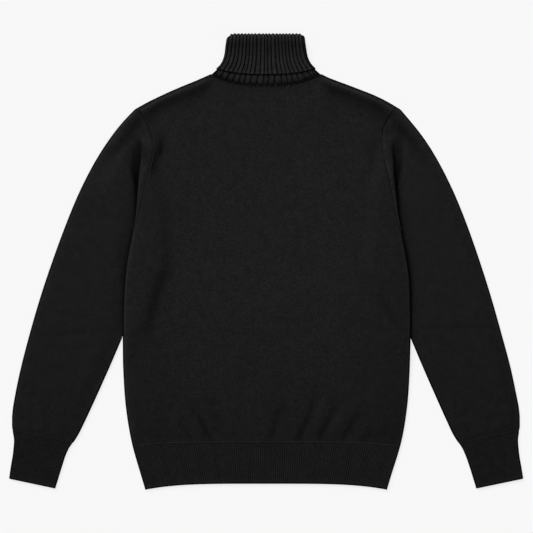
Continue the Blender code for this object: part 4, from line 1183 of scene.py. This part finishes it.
def collar():
    """The whole tube: its stand, its inside, the crest it turns over at, and the roll outside."""
    t, round_degrees, rib_place = (values[None, :] for values in ring_places())
    share, mid, turn, level, kind = collar_rows()
    reach = np.abs(t)
    turned, angle = np.radians(turn), np.radians(round_degrees)
    upper = ease(np.sin(angle) + 1) * (round_degrees != -90)
    roll_reach = ROLL_MID + RIB_CLOTH / 2
    lower = ROLL_EDGE + ROLL_EDGE_RISE * reach**ROLL_EDGE_POWER
    corner = ROLL_EDGE + ROLL_EDGE_RISE

    top_half = by_side(ROLL_OUTLINE, t, COLLAR_TOP) - roll_reach
    top_x = np.abs(t * top_half + roll_reach * np.cos(angle))
    past = np.clip(top_x - COLLAR_CORNER_FROM, 0, COLLAR_CORNER - 0.1)
    corner_centre = COLLAR_TOP - CREST_RADIUS - RIB_CLOTH / 2 - COLLAR_CORNER
    top = corner_centre + np.sqrt(COLLAR_CORNER**2 - past**2)

    rising = kind == 0
    half_low = NECK_HALF - STAND_MID - RIB_CLOTH / 2
    half_high = by_side(ROLL_OUTLINE, t, corner) - roll_reach
    half_wall = by_side(ROLL_OUTLINE, t, corner + share * (COLLAR_TOP - 4 - corner)) - roll_reach
    half = np.where(rising, half_low + share * (half_high - half_low), half_wall)
    half = half - np.where(kind == 2, 0.4 * np.sin(turned), 0)
    seam_out = reach * half_low
    seam = np.where(round_degrees == -90, neck_line(seam_out, "front"), neck_line(seam_out, "back"))
    height = np.where(rising, seam + share * (lower + 1 - seam), lower + share * (top - lower))

    uneven = 0.12 * np.sin(7.1 * t + 3 * np.sin(3.3 * t))
    roll_rib = ease((rib_profile(ROLL_RIBS * rib_place + uneven, 1) - 0.1) / 0.5)
    stand_rib = ease((rib_profile(STAND_RIBS * rib_place + uneven, 1) - 0.06) / 0.55)
    varied = 1 + 0.13 * np.sin(ROLL_RIBS * rib_place * 2.2 + 1.7 * t)
    scallop = 2.2 * (rib_profile(ROLL_RIBS * rib_place + uneven, 0.8) - 0.66)
    on_roll = np.sin(turned / 2)
    from_edge = share * (top - lower)
    offsets = []
    for skin in (1, -1):
        offset = skin * RIB_CLOTH / 2 + 0 * height
        if skin > 0:
            lump = STAND_RIB_HEIGHT * (stand_rib - 0.6) - rounding(share * STAND_DEPTH, 1.5)
            offset = offset + np.where(rising, lump, 0) * upper
        else:
            lip = 0.5 * hump(from_edge - 1.6, 1.6) - rounding(from_edge, 1.2)
            lump = ROLL_RIB_HEIGHT * (roll_rib - 0.8) * on_roll + np.where(turn == 180, lip, 0)
            offset = offset - np.where(turn > 0, lump, 0) * upper
        offsets.append(offset)

    from_top = top - height
    crown = CREST_RISE * hump(np.maximum(from_top, 0), 12) * (turn > 0) * on_roll * upper
    skins = []
    for offset in offsets:
        off = mid + offset * np.cos(turned) - np.where(kind == 2, CREST_RADIUS * np.cos(turned), 0)
        over_crest = (CREST_RADIUS - offset + FUZZ + scallop * upper) * np.sin(turned)
        rise = np.where(kind == 2, over_crest, 0)
        x = t * half + (off + FUZZ * (turn > 90)) * np.cos(angle)
        z = level + off * np.sin(angle) + crown
        skins.append(np.stack([x, height + rise, z], -1))

    # Painted light and shade on the roll neck: painted shade in the valleys between ribs, whose
    # brightness also varies a little from rib to rib; the roll's bands of painted highlight and shade,
    # with a painted highlight on its lip; on the stand, a painted highlight towards its ends and higher
    # up, a painted shadow at the neck seam and under the roll's lip; and painted shade at the roll's side
    # folds.
    rolled = 0.28 + 0.87 * varied * roll_rib
    stood = (0.56 + 0.88 * varied * stand_rib) * (1 + 0.3 * ease((reach - 0.72) / 0.2))
    roll_painted_shading = rolled * read(ROLL_PAINTED_LIGHT, "tone", from_top) * (1 + 0.2 * hump(from_edge - 1.5, 1.8))
    climb = height - seam
    teeth = 3.6 + 1.4 * np.sin(skins[0][..., 0] * 2 * math.pi / TOOTH_PITCH)
    stand_painted_shading = stood * (1 - 0.78 * hump(climb - 2.3, teeth)) * (1 + 0.2 * ease((climb - 6) / 6))
    stand_painted_shading = stand_painted_shading * (1 - 0.65 * ease((3.2 - lower + height) / 2))
    painted_shading = np.where(turn > 0, roll_painted_shading, stand_painted_shading)
    painted_shading = painted_shading * np.where(turn > 0, edge_shade(0.6 + RIB_CLOTH * (1 - np.cos(angle))), 1)
    knit_along = np.where(turn < 90, height, 2 * COLLAR_TOP - height)
    weave = np.stack([rib_place * ROLL_RIBS * 3 + 0 * height, knit_along], -1)
    rings = grid_rings(*height.shape, flip=True, closed=True)
    return cloth_shell("roll_neck_rib", *skins, rings, weave, painted_shading)


WIDE_RIB_KNIT = knitted("wide_rib_knit", RIB_COLOUR, wale=1, course=1.6, depth=0.25)

neck = collar()
neck.data.materials.append(WIDE_RIB_KNIT)
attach(neck, "root")
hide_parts("collar")


# Seams.
# The panels, sleeves, cuffs and hem bands are linked loop by loop in the same wool, which leaves a fine
# raised chain along each join. Fully fashioned marks run down beside the armholes.

CHAIN_SIDES = 8
CHAIN_STEPS = 4
LOOP_PITCH = 1.9
MARK_PITCH = 4.2
MARKS_OFF = {-1: (7.6, 9.8), 1: (3.6, 5.8)}
CUFF_SEAM = 77
ON_CLOTH = REST + 1.8


def linking_chain(name, x, y, z, pitch, radius, painted_highlight):
    """A fine chain of loops along a path: a thread that swells once in each pitch.

    The last argument is a painted highlight: how much paler its wool is painted than the knit's, where it
    stands out of the knit.
    """
    path = np.stack([x, y, z], -1)
    lengths = np.concatenate([[0], np.cumsum(np.linalg.norm(np.diff(path, axis=0), axis=1))])
    loops = int(lengths[-1] / pitch)
    at = np.linspace(0, lengths[-1], loops * CHAIN_STEPS + 1)
    line = np.stack([np.interp(at, lengths, path[:, i]) for i in range(3)], -1)
    ahead = np.gradient(line, axis=0)
    ahead /= np.linalg.norm(ahead, axis=1)[:, None]
    beside = np.cross(ahead, (0, 0, 1))
    beside /= np.linalg.norm(beside, axis=1)[:, None]
    over = np.cross(beside, ahead)
    swell = 0.62 + 0.38 * np.abs(np.sin(math.pi * np.arange(len(at)) / CHAIN_STEPS))
    swell[[0, -1]] = 0.05
    angles = 2 * math.pi * np.arange(CHAIN_SIDES) / CHAIN_SIDES
    cosine, sine = np.cos(angles)[None, :, None], np.sin(angles)[None, :, None]
    ring = cosine * beside[:, None] + sine * over[:, None]
    points = line[:, None] + radius * swell[:, None, None] * ring
    points[..., 2] = np.maximum(points[..., 2], 0)
    faces = grid_rings(len(at), CHAIN_SIDES, closed=True)
    faces += [list(range(CHAIN_SIDES)), [len(at) * CHAIN_SIDES - 1 - i for i in range(CHAIN_SIDES)]]
    mesh = bpy.data.meshes.new(name)
    mesh.from_pydata(points.reshape(-1, 3) / 1000, [], faces)
    mesh.uv_layers.new(name="knit")
    # The chain's painted highlight, kept on each point.
    tones = np.full(len(mesh.vertices), painted_highlight)
    mesh.attributes.new("painted_shading", "FLOAT", "POINT").data.foreach_set("value", tones)
    mesh.shade_smooth()
    mesh.materials.append(LINKING_WOOL)
    chain = bpy.data.objects.new(name, mesh)
    bpy.context.scene.collection.objects.link(chain)
    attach(chain, "root")


LINKING_WOOL = knitted("linking_wool", KNIT_COLOUR, wale=1, course=1, depth=0.1)

across = np.linspace(-0.995, 0.995, 121)
seam_x, seam_y = hem_plan(across, 0 * across)[:2]
for layer, level, radius, painted_highlight in (("back", ON_CLOTH, 0.7, 2.1), ("front", REST - 1, 0.6, 0.8)):
    name = f"hem_{layer}_linking"
    linking_chain(name, seam_x, seam_y, 0 * across + level, LOOP_PITCH, radius, painted_highlight)

for sign, side in ((-1, "left"), (1, "right")):
    outer_y, inner_y = CUFF_ROWS[1]
    outer_x, inner_x = float(read(ARM_OUTER, side, outer_y)), float(read(ARM_INNER, side, inner_y))
    share = np.linspace(0.01, 0.99, 40)
    seam_x = sign * (outer_x + share * (inner_x - outer_x))
    seam_y = outer_y + share * (inner_y - outer_y)
    level = ON_CLOTH - rounding(np.minimum(share, 1 - share) * CUFF_SEAM, CLOTH)
    linking_chain(f"cuff_{side}_linking", seam_x, seam_y, level, LOOP_PITCH, 0.6, 1.5)

    point = SHOULDER_POINT[sign][1]
    down = np.linspace(point - 2.5, 52, 120)
    out = by_side(ARMHOLE, sign, down)
    level = REST + body_ride(sign, out, down) + shoulder_roll(point - down) + 1.5
    linking_chain(f"armhole_{side}_linking", sign * out + 1.7, down, level, 1.7, 0.6, 1.9)
    for row, off in enumerate(MARKS_OFF[sign]):
        marked = down[(down < 216 - 14 * row) & (down > 130 + 10 * row)]
        out = by_side(ARMHOLE, sign, marked)
        level = REST + body_ride(sign, out, marked) + FAR + 0.1
        name = f"armhole_{side}_fashioning_{row + 1}"
        linking_chain(name, sign * (out + off), marked, level, MARK_PITCH, 0.7, 2.3)


# Studio.
# A pale lit table, which shows hardly any shadow, under a big soft light from beyond the left shoulder,
# with even light from all round. The camera looks straight down on the sweater.

bpy.ops.mesh.primitive_plane_add(size=8, location=(0, 0, -0.0003))
floor = bpy.context.object
floor.name = "floor"
acrylic = bpy.data.materials.new("pale_lit_table")
acrylic.use_nodes = True
sheet = acrylic.node_tree.nodes["Principled BSDF"]
sheet.inputs["Base Color"].default_value = (0.15, 0.15, 0.15, 1)
sheet.inputs["Emission Color"].default_value = (1, 1, 1, 1)
sheet.inputs["Emission Strength"].default_value = 0.775
sheet.inputs["Roughness"].default_value = 1
sheet.inputs["Specular IOR Level"].default_value = 0
floor.data.materials.append(acrylic)

world = bpy.data.worlds.new("studio")
world.use_nodes = True
world.node_tree.nodes["Background"].inputs["Color"].default_value = (1, 1, 1, 1)
world.node_tree.nodes["Background"].inputs["Strength"].default_value = 0.42
bpy.context.scene.world = world

softbox = bpy.data.lights.new("softbox", "SUN")
softbox.energy = 3.75
softbox.angle = math.radians(35)
lamp = bpy.data.objects.new("softbox", softbox)
lamp.rotation_euler = Vector((0.62, -1, -0.76)).to_track_quat("-Z", "Y").to_euler()
bpy.context.scene.collection.objects.link(lamp)

VIEW_WIDTH = 0.8954
LENS = 180
lens = bpy.data.cameras.new("overhead")
lens.lens = LENS
lens.sensor_width = 36
camera = bpy.data.objects.new("overhead", lens)
camera.location = (0.0005, -0.0079, 0.006 + VIEW_WIDTH * LENS / 36)
camera.matrix_world = Matrix.Translation(camera.location)
bpy.context.scene.collection.objects.link(camera)
bpy.context.scene.camera = camera
bpy.context.scene.view_settings.view_transform = "Standard"
